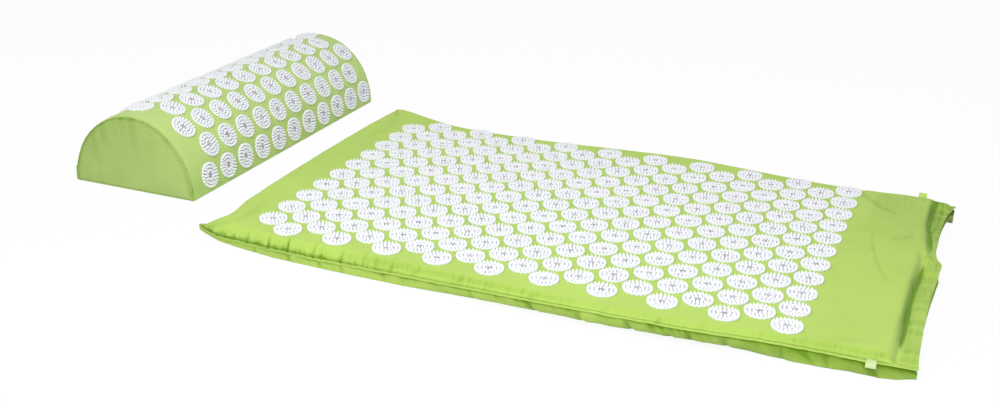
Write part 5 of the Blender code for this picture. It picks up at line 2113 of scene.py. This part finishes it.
def tape_material(context):
    made = bpy.data.materials.get("lime_tape")
    if made:
        return made
    shader = Shader("lime_tape")
    place = shader.place()
    fuzz = shader.noise(place, 1500.0, 3.0)
    color = context.scene.cloth_looks.cloth_color
    shader.set(
        Base_Color=shader.mix(fuzz, rgba(color, 0.70), rgba(color, 0.98)),
        Roughness=0.9,
        Specular_IOR_Level=0.2,
        Normal=shader.bump(fuzz, 0.0003, 0.6),
    )
    return shader.material


def ribbon_material(name, color):
    shader = Shader(name)
    _, v, _ = shader.axes(shader.flat_map())
    ribs = (v * (math.pi / RIB_PITCH)).sine().absolute()
    # The ribs' crests are painted lighter and their troughs darker, as light and shade on the ribs
    shader.set(
        Base_Color=shader.mix(ribs, rgba(color, 0.92), rgba(color, 1.04)),
        Roughness=0.5,
        Specular_IOR_Level=0.4,
        Sheen_Weight=0.2,
        Normal=shader.bump(ribs, 0.0001, 0.4),
    )
    return shader.material


def metal_material():
    shader = Shader("plated_zip_metal")
    wear = shader.noise(shader.place(), 700.0, 3.0)
    shader.set(
        Base_Color=shader.mix(wear, (0.62, 0.63, 0.65, 1.0), (0.74, 0.75, 0.77, 1.0)),
        Metallic=1.0,
        Roughness=shader.spread(wear, 0.3, 0.7, 0.24, 0.40),
        Normal=shader.bump(wear, 0.00004, 0.3),
    )
    return shader.material


# Stage

# Camera: where it stands and how it is turned, in degrees, as the photograph's discs give it
CAMERA_PLACE = (0.40557, -1.25988, 0.53583)
CAMERA_TURN = (69.0016, -1.8837, 21.8496)
SENSOR_WIDTH = 36.0
CAMERA_CLIP = 50.0
# Direction of the lamp from the mat
LAMP_AIM = (0.10, -0.90, 1.08)
# The floor lies just under the mat, and the camera sees it almost white
FLOOR_DROP = 0.0002
FLOOR_WHITE = 0.93
WHITE = (1.0, 1.0, 1.0, 1.0)


class OBJECT_OT_stage(bpy.types.Operator):
    """Sets the camera, the floor and the light"""

    bl_idname = "object.plain_stage"
    bl_label = "Stage"

    def execute(self, context):
        scene = context.scene
        looks = scene.stage_looks
        self.camera(scene, looks)
        self.floor(scene, looks)
        self.lamp(scene, looks)
        self.world(scene, looks)
        scene.view_settings.view_transform = "Standard"
        return {"FINISHED"}

    def camera(self, scene, looks):
        camera = bpy.data.cameras.new("photo_camera")
        camera.sensor_fit = "HORIZONTAL"
        camera.sensor_width = SENSOR_WIDTH
        camera.lens = looks.focal_length
        camera.clip_end = CAMERA_CLIP
        viewer = bpy.data.objects.new("photo_camera", camera)
        viewer.location = CAMERA_PLACE
        viewer.rotation_euler = [math.radians(turn) for turn in CAMERA_TURN]
        scene.collection.objects.link(viewer)
        scene.camera = viewer

    def floor(self, scene, looks):
        bm = bmesh.new()
        bmesh.ops.create_grid(bm, x_segments=1, y_segments=1, size=looks.floor_size / 2)
        bmesh.ops.translate(bm, verts=bm.verts[:], vec=(0.0, 0.0, -FLOOR_DROP))
        mesh = as_mesh(bm, "floor")
        mesh.materials.append(self.floor_material())
        floor = bpy.data.objects.new("floor", mesh)
        scene.collection.objects.link(floor)

    def lamp(self, scene, looks):
        key = bpy.data.lights.new("key", "AREA")
        key.shape = "DISK"
        key.energy = looks.key_light
        key.size = looks.key_size
        lamp = bpy.data.objects.new("key", key)
        aim = Vector(LAMP_AIM).normalized()
        lamp.location = aim * looks.key_distance
        lamp.rotation_euler = aim.to_track_quat("Z", "Y").to_euler()
        scene.collection.objects.link(lamp)

    def floor_material(self):
        """White where the camera, a gloss or a glass sees it, and plain for the light that falls on it."""
        shader = Shader("white_floor")
        shader.set(Base_Color=(0.95, 0.95, 0.95, 1.0), Roughness=0.9, Specular_IOR_Level=0.0)
        tree = shader.tree
        glow = shader.node("ShaderNodeEmission", None, {"Color": WHITE, "Strength": 1.0})
        rays = tree.nodes.new("ShaderNodeLightPath")
        camera, glossy, through = (
            Value(shader, rays.outputs[f"Is {kind} Ray"]) for kind in ("Camera", "Glossy", "Transmission")
        )
        mix = tree.nodes.new("ShaderNodeMixShader")
        tree.links.new(((camera + glossy + through) * FLOOR_WHITE).socket, mix.inputs[0])
        tree.links.new(shader.surface.outputs[0], mix.inputs[1])
        tree.links.new(glow.socket, mix.inputs[2])
        tree.links.new(mix.outputs[0], tree.nodes["Material Output"].inputs[0])
        return shader.material

    def world(self, scene, looks):
        world = bpy.data.worlds.new("studio")
        world.use_nodes = True
        scene.world = world
        tree = world.node_tree
        light = tree.nodes["Background"]
        white = tree.nodes.new("ShaderNodeBackground")
        for background, strength in ((light, looks.world_light), (white, 1.0)):
            background.inputs["Color"].default_value = WHITE
            background.inputs["Strength"].default_value = strength
        rays = tree.nodes.new("ShaderNodeLightPath")
        mix = tree.nodes.new("ShaderNodeMixShader")
        tree.links.new(rays.outputs["Is Camera Ray"], mix.inputs[0])
        tree.links.new(light.outputs[0], mix.inputs[1])
        tree.links.new(white.outputs[0], mix.inputs[2])
        tree.links.new(mix.outputs[0], tree.nodes["World Output"].inputs[0])


class VIEW3D_PT_acupressure_mat(bpy.types.Panel):
    """Lists the pieces and their sizes"""

    bl_label = "Acupressure Mat"
    bl_space_type = "VIEW_3D"
    bl_region_type = "UI"
    bl_category = "Acupressure Mat"

    def draw(self, context):
        for operator in STEPS:
            self.layout.operator(operator.bl_idname)
        for group in (context.scene.mat_sizes, context.scene.cloth_looks, context.scene.stage_looks):
            for name in group.__annotations__:
                self.layout.prop(group, name)


STEPS = (
    OBJECT_OT_stage,
    OBJECT_OT_mat_cover,
    OBJECT_OT_end_flap,
    OBJECT_OT_foam,
    OBJECT_OT_discs,
    OBJECT_OT_pillow,
    OBJECT_OT_pillow_zip,
    OBJECT_OT_ribbons,
)
CLASSES = (MatSizes, ClothLooks, StageLooks, *STEPS, VIEW3D_PT_acupressure_mat)


def register():
    for item in CLASSES:
        bpy.utils.register_class(item)
    bpy.types.Scene.mat_sizes = PointerProperty(type=MatSizes)
    bpy.types.Scene.cloth_looks = PointerProperty(type=ClothLooks)
    bpy.types.Scene.stage_looks = PointerProperty(type=StageLooks)


def unregister():
    del bpy.types.Scene.stage_looks
    del bpy.types.Scene.cloth_looks
    del bpy.types.Scene.mat_sizes
    for item in reversed(CLASSES):
        bpy.utils.unregister_class(item)


def main():
    register()
    bpy.ops.object.plain_stage()
    bpy.ops.object.mat_cover()
    bpy.ops.object.end_flap()
    bpy.ops.object.foam_pads()
    bpy.ops.object.spiked_discs()
    bpy.ops.object.half_round_pillow()
    bpy.ops.object.pillow_zip()
    bpy.ops.object.ribbon_tabs()


if __name__ == "__main__":
    main()
